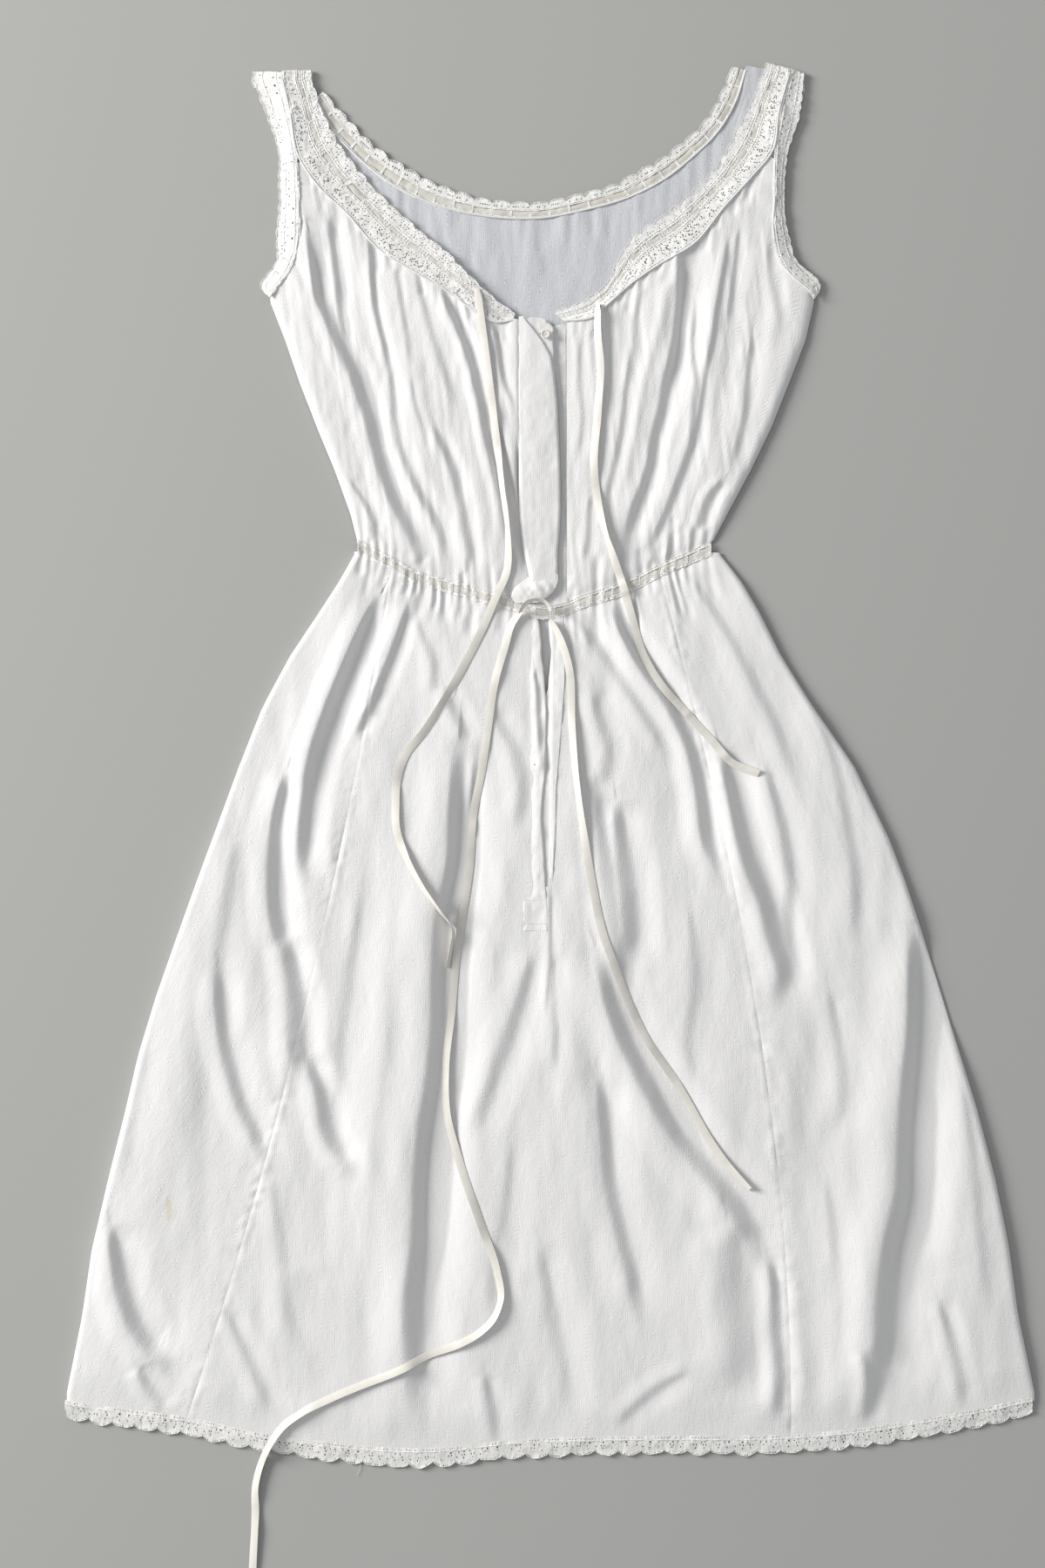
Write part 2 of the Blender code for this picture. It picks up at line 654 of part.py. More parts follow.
def make_skirt_back():
    left_x, left_y = skirt_rows(lambda y: seam_left(y) + SEAM_INSET)
    right_x, right_y = skirt_rows(lambda y: seam_right(y) - SEAM_INSET)
    hem_x = np.linspace(left_x[-1], right_x[-1], 16)[1:-1]
    waist_x = np.linspace(right_x[0], left_x[0], 24)[1:-1]
    waist = waist_y(waist_x) - WAIST_LACE_WIDTH / 2 - 2 * SEAM_INSET
    outline = list(zip(left_x, left_y)) + list(zip(hem_x, hem_y(hem_x)))
    outline += list(zip(right_x[::-1], right_y[::-1])) + list(zip(waist_x, waist))
    pile.add(flat_piece("skirt_back", outline, "cloth"))


def lace_edges(rows):
    """The sewn and the free edge of a lace, and the run of the free one, by the share of its length."""
    sewn, sewn_length = route([(row.sewn_x, row.sewn_y) for row in rows])
    free, free_length = route([(row.free_x, row.free_y) for row in rows])
    marks = np.linspace(0, 1, len(rows))

    def shares(edge, length, points):
        runs = [0.0]
        fine = edge(np.linspace(0, length, 800))
        for point in points[1:-1]:
            nearest = np.argmin(np.linalg.norm(fine - np.array(point), axis=1))
            runs.append(nearest / 799 * length)
        runs.append(length)
        return profile(list(zip(marks, runs)))

    sewn_run = shares(sewn, sewn_length, [(row.sewn_x, row.sewn_y) for row in rows])
    free_run = shares(free, free_length, [(row.free_x, row.free_y) for row in rows])
    return (lambda s: sewn(sewn_run(s))), (lambda s: free(free_run(s))), free_run


def scallop(phase):
    """From 0 in the notch between two scallops to 1 on the crown of one."""
    return np.sqrt(np.abs(np.sin(math.pi * phase)))


def even_stations(free_run, phases, pitch, first=0.0, last=1.0):
    """Shares of the length at the given phases of each repeat, with their phases."""
    fine = np.linspace(0, 1, 1200)
    runs = free_run(fine)
    start, stop = np.interp((first, last), fine, runs)
    repeats = max(1, int(round((stop - start) / pitch)))
    at = [(i + phase) / repeats for i in range(repeats) for phase in phases]
    distances = np.append(mix(start, stop, np.array(at)), stop)
    return np.interp(distances, runs, fine), np.append(np.tile(phases, repeats), 1.0)


def make_neck_lace(name, rows, seam_height, free_height, window_end, ribbon_name):
    """The wide front lace, with windows for its ribbon, turned back over the shoulder."""
    sewn, free, free_run = lace_edges(rows)
    phases = (0.07, 0.5, 0.93)
    s, phase = even_stations(free_run, phases, SCALLOP_PITCH)
    s = np.append(0.0, s)
    phase = np.append(0.0, phase)
    across = np.array((0.0, 0.32, 0.6, 0.79, 1.0))
    a, b = sewn(s), free(s)
    width = np.linalg.norm(b - a, axis=1)
    notch = np.minimum(SCALLOP_DEPTH / width, 0.2) * (1 - scallop(phase))
    share = np.tile(across, (len(s), 1))
    share[:, -1] -= notch
    x = mix(a[:, :1], b[:, :1], share)
    y = mix(a[:, 1:], b[:, 1:], share)
    z = mix(seam_height(a[:, :1], a[:, 1:]), free_height, share)
    keep = np.ones((len(s) - 1, len(across) - 1), bool)
    for i in range(len(s) - 1):
        in_window = (s[i] > 0.1) and (s[i + 1] < window_end)
        crosses_bar = (phase[i] == phases[-1]) or i == 0
        if in_window and not crosses_bar:
            keep[i, 2] = False
    outer = grid(x, y, z)
    inner = grid(x, y, z - LACE_WALL)
    outer, inner = turned_over(outer, inner)
    turned = len(outer) - len(s)
    keep = np.vstack([np.ones((turned, len(across) - 1), bool), keep])
    pile.add(wall(name, outer, inner, "lace", keep))

    ribbon = [i for i in range(len(s)) if 0.08 < s[i] < window_end + 0.03][::2]
    low, high = 0.6 - 0.3 / 24, 0.79 + 0.3 / 24
    strip_x = np.stack([mix(a[ribbon, 0], b[ribbon, 0], t) for t in (low, high)], axis=1)
    strip_y = np.stack([mix(a[ribbon, 1], b[ribbon, 1], t) for t in (low, high)], axis=1)
    lowest = np.array([z[max(i - 2, 0) : i + 3, 2:4].min() for i in ribbon])[:, None]
    strip_z = np.repeat(lowest, 2, axis=1) - LACE_WALL - SEAM_GAP
    upper = grid(strip_x, strip_y, strip_z)
    lower = grid(strip_x, strip_y, strip_z - RIBBON_WALL)
    pile.add(wall(ribbon_name, upper, lower, "ribbon"))


def turned_over(outer, inner):
    """Carries a strap's first row over the shoulder fold and a little way under, down to the floor."""
    under_reach, turn_reach, turn_steps = 10.0, 2.5, 4
    first_out, first_in = outer[0], inner[0]
    middle_out = first_out[:, 2] / 2
    middle_in = (first_in[:, 2] + BACK_WALL) / 2
    extra_out, extra_in = [], []
    flat_out, flat_in = first_out.copy(), first_in.copy()
    flat_out[:, 2] = 0.0
    flat_in[:, 2] = BACK_WALL
    flat_out[:, 1] -= under_reach
    flat_in[:, 1] -= under_reach
    extra_out.append(flat_out)
    extra_in.append(flat_in)
    for k in range(turn_steps):
        angle = math.pi * (-0.5 + k / turn_steps)
        row_out, row_in = first_out.copy(), first_in.copy()
        row_out[:, 1] += turn_reach * math.cos(angle)
        row_in[:, 1] += (turn_reach - 1.1) * math.cos(angle)
        row_out[:, 2] = middle_out * (1 + math.sin(angle))
        row_in[:, 2] = middle_in + (first_in[:, 2] - middle_in) * math.sin(angle)
        extra_out.append(row_out)
        extra_in.append(row_in)
    return np.concatenate([extra_out, outer]), np.concatenate([extra_in, inner])


def make_armhole_lace(name, rows, flat):
    """Scalloped lace round one armhole: the front's is turned over the shoulder, the back's is flat."""
    sewn, free, free_run = lace_edges(rows)
    first = 0.05 if flat else 0.0
    s, phase = even_stations(free_run, (0.0, 0.5), ARMHOLE_PITCH, first)
    a, b = sewn(s), free(s)
    normal = b - a
    width = np.linalg.norm(normal, axis=1, keepdims=True)
    a = a + normal / width * SEAM_INSET
    notch = np.minimum(2.2 / width[:, 0], 0.25) * (1 - scallop(phase))
    share = np.stack([0 * notch, 0 * notch + 0.5, 1 - notch], axis=1)
    x = mix(a[:, :1], b[:, :1], share)
    y = mix(a[:, 1:], b[:, 1:], share)
    if flat:
        z = np.full_like(x, BACK_WALL)
        pile.add(wall(name, grid(x, y, z), grid(x, y, 0 * z), "lace"))
        return
    z = mix(front_height(a[:, :1], a[:, 1:]), LACE_EDGE_HEIGHT, share**2)
    z[0] = LACE_HEIGHT
    z[1] = mix(z[1], LACE_HEIGHT, 0.5)
    outer, inner = turned_over(grid(x, y, z), grid(x, y, z - LACE_WALL))
    pile.add(wall(name, outer, inner, "lace"))


def make_neck_lace_back():
    """The narrow lace round the back neck, lying over its own ribbon."""
    sewn, free, free_run = lace_edges(NECK_LACE_BACK)
    phases = (0.07, 0.5, 0.93)
    s, phase = even_stations(free_run, phases, SCALLOP_PITCH)
    s = np.append(0.0, s)
    phase = np.append(0.0, phase)
    a, b = sewn(s), free(s)
    width = np.linalg.norm(b - a, axis=1)
    notch = SCALLOP_DEPTH / width * (1 - scallop(phase))
    share = np.tile(np.array((0.0, 0.27, 0.7, 1.0)), (len(s), 1))
    share[:, -1] -= notch
    x = mix(a[:, :1], b[:, :1], share)
    y = mix(a[:, 1:], b[:, 1:], share)
    low = RIBBON_WALL + SEAM_GAP
    keep = np.ones((len(s) - 1, 3), bool)
    for i in range(1, len(s) - 2):
        if phase[i] != phases[-1]:
            keep[i, 1] = False
    pile.add(wall("neck_lace_back", grid(x, y, low + LACE_WALL), grid(x, y, low), "lace", keep))
    strip = list(range(1, len(s) - 1, 2))
    strip_x = np.stack([mix(a[strip, 0], b[strip, 0], t) for t in (0.25, 0.72)], axis=1)
    strip_y = np.stack([mix(a[strip, 1], b[strip, 1], t) for t in (0.25, 0.72)], axis=1)
    upper = grid(strip_x, strip_y, RIBBON_WALL)
    pile.add(wall("ribbon_neck_back", upper, grid(strip_x, strip_y, 0.0), "ribbon"))


def sewn_points(rows, first, last, count):
    """Points along a lace's sewn edge, between two of its rows."""
    sewn = lace_edges(rows)[0]
    return sewn(np.linspace(first, last, count) / (len(rows) - 1))


def top_boundary(lace_rows, armhole_rows, placket_x, side, binding_steps, seam_steps):
    """The upper edge of one bodice front: up the armhole, then down along the neck lace."""
    climb = sewn_points(armhole_rows, len(armhole_rows) - 1, 2.2, binding_steps + 1)
    seam = sewn_points(lace_rows, 2.2, len(lace_rows) - 1, 400)
    seam = seam[side * (seam[:, 0] - placket_x) > 2.0]
    fall = seam[np.linspace(0, len(seam) - 1, seam_steps).astype(int)]
    points = np.concatenate([climb[:-1], fall])
    shifted = points + side * 2.4 * SEAM_INSET * normals_of(points)
    shifted[binding_steps] = points[binding_steps] + np.array((0, -4.0))
    end = np.array((placket_x, shifted[-1, 1] - 0.4))
    return np.vstack([shifted, end])


def make_bodice_front(name, lace_rows, armhole_rows, placket_x, side_edge, side):
    """One gathered front. side is -1 at the left and 1 at the right of the photographed dress."""
    binding_steps, seam_steps, down_steps = 9, 17, 9
    top = top_boundary(lace_rows, armhole_rows, placket_x, side, binding_steps, seam_steps)
    share = np.append(
        np.linspace(0, 0.16, binding_steps + 1)[:-1], np.linspace(0.16, 1, seam_steps + 1)
    )
    rise = WAIST_LACE_WIDTH / 2 + SEAM_INSET
    corner_x = float(side_edge(meeting_y(side_edge, waist_y, -rise, 175.0)))
    waist_x = mix(corner_x, placket_x, share)
    bottom = np.stack([waist_x, waist_y(waist_x) + rise], axis=1)
    top[0, 0] = float(side_edge(top[0, 1]))
    down = np.linspace(0, 1, down_steps + 1)[:, None]
    x = mix(top[:, 0][None], bottom[:, 0][None], down)
    y = mix(top[:, 1][None], bottom[:, 1][None], down)
    bend = (side_edge(y[:, :1]) - x[:, :1]) * (1 - share[None]) ** 3
    x = x + bend
    x[:, -1] = placket_x
    edge_distance = np.where(y < top[0, 1] + 4, np.abs(x - side_edge(y)), SIDE_ROLL)
    z = rolled(front_height(x, y), edge_distance)
    pile.add(wall(name, grid(x, y, z), grid(x, y, z - FRONT_WALL_LEAST), "cloth"))


def make_bodice_back():
    """The back with its shoulder straps, flat on the floor."""
    def inset(points, amount):
        points = np.array(points, float)
        return points + amount * normals_of(points)

    left_y = np.array((172, 200, 235, 270, 305, 340, 372))
    right_y = left_y[::-1]
    left_arm = inset(sewn_points(ARMHOLE_LEFT, 8.3, 1.0, 14), -2 * SEAM_INSET)
    right_arm = inset(sewn_points(ARMHOLE_RIGHT, 1.0, 8.3, 14), -2 * SEAM_INSET)
    neck = inset(sewn_points(NECK_LACE_BACK, 0, len(NECK_LACE_BACK) - 1, 36), -2 * SEAM_INSET)
    waist_x = np.linspace(131, -154, 22)
    waist = list(zip(waist_x, waist_y(waist_x) + WAIST_LACE_WIDTH / 2 + SEAM_INSET))
    outline = [(float(side_left(y)), y) for y in left_y[1:]]
    outline += [tuple(point) for point in left_arm]
    outline += [(-212.5, 538.0), (-190.5, 538.0)]
    outline += [tuple(point) for point in neck]
    outline += [(177.5, 556.0), (177.5, 543.0), (191.0, 543.0)]
    outline += [tuple(point) for point in right_arm]
    outline += [(float(side_right(y)), y) for y in right_y[:-1]]
    outline += waist
    pile.add(flat_piece("bodice_back", outline, "cloth"))


def make_button_bands():
    """The over band with its turned-up end, and the under band that shows beside it."""
    y = np.array((152.4, 165, 182, 205, 232, 262, 290, 312, 326, 338, 348, 357.5))
    share = np.array((0.0, 0.12, 0.5, 0.88, 1.0))
    x = mix(BAND_LEFT_X, band_right(y)[:, None], share)
    z = OVER_BAND_HEIGHT + 0.5 * np.sin(math.pi * share)[None] * np.ones((len(y), 1))
    z = z + 0.3 * np.sin(y / 21.0)[:, None]
    lower = grid(x, y[:, None], z - FRONT_WALL_LEAST)
    over = wall("button_band_over", grid(x, y[:, None], z), lower, "cloth")
    under_y = np.array((135, 190, 245, 300, 350))[:, None]
    under_x = np.array((UNDER_BAND_LEFT_X, 0.0, UNDER_BAND_RIGHT_X - SEAM_INSET))[None]
    upper = grid(under_x, under_y, UNDER_BAND_HEIGHT)
    lower = grid(under_x, under_y, UNDER_BAND_HEIGHT - BACK_WALL)
    under = wall("button_band_under", upper, lower, "cloth")
    pile.add(over, under)


def make_band_tab():
    """The band's lower end, folded up into a soft square lump."""
    height = pile.top()
    y = np.array((151.8, 149, 144, 138, 133, 130.5))
    left = np.array((-20, -24, -29, -30, -28, -24))
    right = np.array((3.5, 4, 3, 0, -4, -9))
    share = np.array((0.0, 0.15, 0.5, 0.85, 1.0))
    x = mix(left[:, None], right[:, None], share)
    rest = max(height(px, py) for px in np.linspace(-30, 4, 12) for py in np.linspace(130, 152, 10))
    low = rest + SEAM_GAP
    round_y = np.sin(math.pi * np.array((0.08, 0.25, 0.5, 0.7, 0.86, 0.95)))
    z = low + 1.0 + 2.4 * round_y[:, None] * np.sqrt(np.sin(math.pi * (0.08 + 0.84 * share)))[None]
    pile.add(wall("band_tab", grid(x, y[:, None], z), grid(x, y[:, None], low), "cloth"))


def make_waist_beading(name, ribbon_name, first_x, last_x, side_x):
    """A lace band with windows, and the ribbon behind them."""
    windows = int(round(abs(last_x - first_x) / WAIST_BAR_PITCH))
    bar = 0.24
    at = [0.0]
    for i in range(windows):
        at += [(i + bar / 2) / windows, (i + 1 - bar / 2) / windows]
    at.append(1.0)
    x = mix(first_x, last_x, np.array(at))[:, None]
    across = WAIST_LACE_WIDTH * (np.array((0.0, 0.2, 0.8, 1.0)) - 0.5)[None]
    y = waist_y(x) + across
    roll = np.abs(x - side_x)
    z = np.maximum(rolled(front_height(x, waist_y(x)), roll), LOWEST_BEADING) + 0 * across
    keep = np.ones((len(at) - 1, 3), bool)
    keep[1:-1:2, 1] = False
    pile.add(wall(name, grid(x, y, z), grid(x, y, z - LACE_WALL), "lace", keep))
    inside = slice(1, -1, 2)
    ribbon_x = x[inside]
    ribbon_across = WAIST_LACE_WIDTH * np.array((-0.33, 0.33))[None]
    nearby = np.minimum(np.minimum(z[:-2:2, :1], z[1:-1:2, :1]), z[2::2, :1])[: len(ribbon_x)]
    ribbon_z = nearby - LACE_WALL - SEAM_GAP + 0 * ribbon_across
    ribbon_z = np.maximum(ribbon_z, BACK_WALL + SEAM_GAP + RIBBON_WALL)
    upper = grid(ribbon_x, waist_y(ribbon_x) + ribbon_across, ribbon_z)
    lower = grid(ribbon_x, waist_y(ribbon_x) + ribbon_across, ribbon_z - RIBBON_WALL)
    pile.add(wall(ribbon_name, upper, lower, "ribbon"))


def make_waist_beading_back():
    x = np.linspace(-153.5, 130.5, 30)[:, None]
    across = WAIST_LACE_WIDTH * np.array((-0.5, 0.5))[None]
    y = waist_y(x) + across
    pile.add(wall("waist_beading_back", grid(x, y, BACK_WALL), grid(x, y, 0.0), "lace"))


def make_hem_lace(name, flat):
    """One side of the scalloped hem lace, from side fold to side fold."""
    first, last = -389.5, 389.0
    repeats = int(round((last - first) / SCALLOP_PITCH))
    phases = (0.0, 0.5) if flat else (0.0, 0.3, 0.7)
    at = [(i + phase) / repeats for i in range(repeats) for phase in phases] + [1.0]
    phase = np.append(np.tile(phases, repeats), 1.0)
    x = mix(first, last, np.array(at))[:, None]
    depth = HEM_LACE_DEPTH - SCALLOP_DEPTH * (1 - scallop(phase))
    share = np.array((0.0, 1.0))[None]
    top = hem_y(x) - 4 * SEAM_INSET
    y = mix(top, top - depth[:, None], share)
    if flat:
        pile.add(wall(name, grid(x, y, BACK_WALL), grid(x, y, 0.0), "lace"))
        return
    from_edge = np.minimum(x - first, last - x)
    z = rolled(mix(front_height(x, top), LACE_EDGE_HEIGHT, share), from_edge)
    pile.add(wall(name, grid(x, y, z), grid(x, y, z - LACE_WALL), "lace"))


def lay_ribbon(name, points, width):
    """A flat ribbon laid along a route on whatever lies there already."""
    height = pile.top()
    point_at, length = route(points)
    steps = max(2, int(round(length / TIE_STEP)))
    stations = np.linspace(0, length, steps + 1)
    centres = point_at(stations)
    sides = normals_of(centres)
    reach = length / steps
    rest = []
    for station in stations:
        near = np.clip(np.linspace(station - reach, station + reach, 15), 0, length)
        spots = point_at(near)
        across = np.stack([np.interp(near, stations, sides[:, k]) for k in (0, 1)], axis=1)
        offsets = np.linspace(-0.55, 0.55, 5) * width
        rest.append(max(height(*(spot + side * o)) for spot, side in zip(spots, across) for o in offsets))
    low = np.array(rest) + np.where(np.array(rest) > 0, SEAM_GAP, 0.05)
    left = centres + sides * width / 2
    right = centres - sides * width / 2
    lower = np.stack([np.column_stack([left, low]), np.column_stack([right, low])], axis=1)
    upper = lower + np.array((0, 0, RIBBON_WALL))
    pile.add(wall(name, upper, lower, "ribbon"))


def make_button(name, x, y):
    """A small two-part turned button: a disc with a raised rim."""
    height = pile.top()
    radius = BUTTON_DIAMETER / 2
    spots = [(x + radius * u, y + radius * v) for u in (-0.7, 0, 0.7) for v in (-0.7, 0, 0.7)]
    low = max(height(*spot) for spot in spots) + SEAM_GAP
    turned = ((0.55, 0.0), (0.95, 0.5), (1.0, 1.1), (0.9, 1.6), (0.72, 1.6), (0.6, 1.2))
    shape = bmesh.new()
    sides = 16
    rings = []
    for share, z in turned:
        ring = []
        for k in range(sides):
            angle = 2 * math.pi * k / sides
            spot = (x + share * radius * math.cos(angle), y + share * radius * math.sin(angle), low + z)
            ring.append(shape.verts.new(spot))
        rings.append(ring)
    for lower, upper in zip(rings, rings[1:]):
        for k in range(sides):
            shape.faces.new((lower[k], lower[(k + 1) % sides], upper[(k + 1) % sides], upper[k]))
    shape.faces.new(rings[0][::-1])
    shape.faces.new(rings[-1])
    pile.add(finish(name, shape, "button"))


def centre_on_origin():
    """Puts the middle of the dress, without its loose ribbon ends, over the origin."""
    points = []
    for item in bpy.data.objects:
        if not item.name.startswith("tie_"):
            points += [vertex.co for vertex in item.data.vertices]
    points = np.array(points)
    middle = (points.min(axis=0) + points.max(axis=0)) / 2
    for item in bpy.data.objects:
        for vertex in item.data.vertices:
            vertex.co.x -= middle[0]
            vertex.co.y -= middle[1]


def make_dress():
    for item in list(bpy.data.objects):
        bpy.data.objects.remove(item)

    make_bodice_back()
    make_skirt_back()
    make_armhole_lace("armhole_lace_back_left", ARMHOLE_LEFT, flat=True)
    make_armhole_lace("armhole_lace_back_right", ARMHOLE_RIGHT, flat=True)
    make_neck_lace_back()
    make_waist_beading_back()
    make_hem_lace("hem_lace_back", flat=True)

    make_skirt_side("skirt_side_left", seam_left, edge_left, -1)
    make_skirt_side("skirt_side_right", seam_right, edge_right, 1)
    make_skirt_front()
    make_hem_lace("hem_lace_front", flat=False)
    make_bodice_front("bodice_front_left", NECK_LACE_LEFT, ARMHOLE_LEFT, BAND_LEFT_X - 0.3, side_left, -1)
    make_bodice_front(
        "bodice_front_right", NECK_LACE_RIGHT, ARMHOLE_RIGHT, UNDER_BAND_RIGHT_X + 0.3, side_right, 1
    )
    make_armhole_lace("armhole_lace_front_left", ARMHOLE_LEFT, flat=False)
    make_armhole_lace("armhole_lace_front_right", ARMHOLE_RIGHT, flat=False)
    make_neck_lace("neck_lace_left", NECK_LACE_LEFT, front_height, LACE_HEIGHT, 0.72, "ribbon_neck_left")
    make_neck_lace("neck_lace_right", NECK_LACE_RIGHT, front_height, LACE_HEIGHT, 0.72, "ribbon_neck_right")
    make_waist_beading("waist_beading_left", "ribbon_waist_left", -153.5, -6.0, -154.5)
    make_waist_beading("waist_beading_right", "ribbon_waist_right", -5.0, 130.5, 131.5)
    make_button_bands()
    make_band_tab()

    lay_ribbon("ribbon_loop", WAIST_LOOP, 5.0)
    lay_ribbon("tie_waist_left", TIE_WAIST_LEFT, RIBBON_WIDTH)
    lay_ribbon("tie_waist_right", TIE_WAIST_RIGHT, RIBBON_WIDTH)
    lay_ribbon("tie_neck_left", TIE_NECK_LEFT, RIBBON_WIDTH)
    lay_ribbon("tie_neck_right", TIE_NECK_RIGHT, RIBBON_WIDTH)
    make_button("button_neck", -3, 344)
    make_button("button_skirt", -7, -1)
    centre_on_origin()


make_dress()
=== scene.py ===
import json
import math

import bpy
import numpy as np
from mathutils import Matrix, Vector
from mathutils.bvhtree import BVHTree

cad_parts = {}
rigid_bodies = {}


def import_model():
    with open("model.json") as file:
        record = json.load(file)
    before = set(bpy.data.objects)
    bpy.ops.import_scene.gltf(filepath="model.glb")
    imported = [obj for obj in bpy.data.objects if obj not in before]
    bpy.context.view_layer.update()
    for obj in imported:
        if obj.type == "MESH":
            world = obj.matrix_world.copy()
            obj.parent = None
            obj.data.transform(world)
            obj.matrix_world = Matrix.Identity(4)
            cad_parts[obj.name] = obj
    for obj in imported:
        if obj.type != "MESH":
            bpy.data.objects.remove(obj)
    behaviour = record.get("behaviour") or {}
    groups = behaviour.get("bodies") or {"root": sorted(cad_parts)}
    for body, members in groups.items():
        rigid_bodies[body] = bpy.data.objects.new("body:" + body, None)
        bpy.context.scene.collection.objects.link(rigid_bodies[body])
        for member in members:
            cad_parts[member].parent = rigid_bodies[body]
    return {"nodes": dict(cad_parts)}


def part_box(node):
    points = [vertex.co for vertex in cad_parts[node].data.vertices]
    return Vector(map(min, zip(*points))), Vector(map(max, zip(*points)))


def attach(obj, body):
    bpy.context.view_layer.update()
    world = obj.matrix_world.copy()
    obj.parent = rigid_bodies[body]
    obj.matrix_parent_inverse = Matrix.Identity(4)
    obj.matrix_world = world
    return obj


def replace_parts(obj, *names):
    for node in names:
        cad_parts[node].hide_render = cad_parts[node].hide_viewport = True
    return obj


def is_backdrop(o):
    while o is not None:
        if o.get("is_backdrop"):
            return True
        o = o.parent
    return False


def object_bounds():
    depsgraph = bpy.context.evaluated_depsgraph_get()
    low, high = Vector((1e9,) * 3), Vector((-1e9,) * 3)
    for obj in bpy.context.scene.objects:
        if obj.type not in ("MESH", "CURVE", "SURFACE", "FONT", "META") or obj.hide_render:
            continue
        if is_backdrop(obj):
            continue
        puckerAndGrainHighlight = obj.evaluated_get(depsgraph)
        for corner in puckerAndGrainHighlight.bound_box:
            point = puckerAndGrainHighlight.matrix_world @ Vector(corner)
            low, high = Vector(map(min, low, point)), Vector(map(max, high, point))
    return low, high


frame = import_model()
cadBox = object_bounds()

mm = 0.001

# Sizes from here to the cords are in millimetres in the frame of the drawing below, whose origin is
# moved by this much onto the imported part: the middle of the skirt button tells where it is
drawnButton = np.array((-7.0, -1.0))
buttonLow, buttonHigh = np.array(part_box("button_skirt")) / mm
drawingShift = ((buttonLow + buttonHigh) / 2)[:2] - drawnButton


def mix(a, b, share):
    return a + (b - a) * share


def smooth(share):
    share = np.clip(share, 0, 1)
    return share * share * (3 - 2 * share)


def curveThrough(points):
    # a smooth path by distance along it, and its length
    points = np.array(points, float)
    chord = np.append(0.0, np.cumsum(np.linalg.norm(np.diff(points, axis=0), axis=1)))
    slopes = np.gradient(points, chord, axis=0)
    fine = np.linspace(0, chord[-1], 60 * len(points))
    i = np.clip(np.searchsorted(chord, fine, side="right") - 1, 0, len(points) - 2)
    step = (chord[i + 1] - chord[i])[:, None]
    t = (fine - chord[i])[:, None] / step
    dense = (
        (2 * t**3 - 3 * t**2 + 1) * points[i]
        + (t**3 - 2 * t**2 + t) * step * slopes[i]
        + (3 * t**2 - 2 * t**3) * points[i + 1]
        + (t**3 - t**2) * step * slopes[i + 1]
    )
    run = np.append(0.0, np.cumsum(np.linalg.norm(np.diff(dense, axis=0), axis=1)))

    def at(distance):
        return np.stack([np.interp(distance, run, dense[:, k]) for k in range(points.shape[1])], axis=-1)

    return at, run[-1]


def softNoise(x, y, sizeX, sizeY, seed):
    # smooth noise from -1 to 1 whose bumps are about sizeX by sizeY
    table = np.random.RandomState(seed).uniform(-1, 1, (128, 128))
    gx, gy = np.asarray(x) / sizeX + 40.0, np.asarray(y) / sizeY + 40.0
    ix, iy = np.floor(gx).astype(int), np.floor(gy).astype(int)
    fx, fy = smooth(gx - ix), smooth(gy - iy)
    corner = lambda a, b: table[(iy + b) % 128, (ix + a) % 128]
    low = mix(corner(0, 0), corner(1, 0), fx)
    high = mix(corner(0, 1), corner(1, 1), fx)
    return mix(low, high, fy)


# Camera, floor and light
view = {"centre": (-0.022, -0.0135), "height": 2.4, "frameHeight": 1.26}
light = {"key": 318.0, "keyAt": (-4.4, 1.6, 2.1), "keySize": 2.2, "fill": 0.4, "floor": 0.45}


def aimAt(item, place, target):
    item.location = place
    item.rotation_euler = (Vector(target) - Vector(place)).to_track_quat("-Z", "Y").to_euler()


def addCamera():
    data = bpy.data.cameras.new("camera")
    data.sensor_fit = "VERTICAL"
    data.sensor_height = 36.0
    data.lens = 36.0 * view["height"] / view["frameHeight"]
    data.dof.use_dof = False
    camera = bpy.data.objects.new("camera", data)
    camera.location = (*view["centre"], view["height"])
    bpy.context.scene.collection.objects.link(camera)
    bpy.context.scene.camera = camera


def addLights():
    world = bpy.data.worlds.new("studio")
    world.use_nodes = True
    background = world.node_tree.nodes["Background"]
    background.inputs["Color"].default_value = (0.965, 0.98, 1.0, 1.0)
    background.inputs["Strength"].default_value = light["fill"]
    bpy.context.scene.world = world
    key = bpy.data.lights.new("key", "AREA")
    key.shape = "DISK"
    key.size = light["keySize"]
    key.energy = light["key"]
    key.color = (1.0, 0.985, 0.96)
    lamp = bpy.data.objects.new("key", key)
    aimAt(lamp, light["keyAt"], (0.0, -0.05, 0.0))
    bpy.context.scene.collection.objects.link(lamp)
    bpy.context.scene.view_settings.view_transform = "Standard"


def addFloor():
    mesh = bpy.data.meshes.new("floor")
    side, low = 4.0, -0.0003
    corners = [(-side, -side, low), (side, -side, low), (side, side, low), (-side, side, low)]
    mesh.from_pydata(corners, [], [(0, 1, 2, 3)])
    floor = bpy.data.objects.new("floor", mesh)
    bpy.context.scene.collection.objects.link(floor)
    material = bpy.data.materials.new("floor")
    material.use_nodes = True
    shader = material.node_tree.nodes["Principled BSDF"]
    shader.inputs["Base Color"].default_value = (light["floor"],) * 2 + (light["floor"] * 0.97, 1.0)
    shader.inputs["Roughness"].default_value = 0.85
    mesh.materials.append(material)
    floor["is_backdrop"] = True


addCamera()
addLights()
addFloor()
print("stage ready")


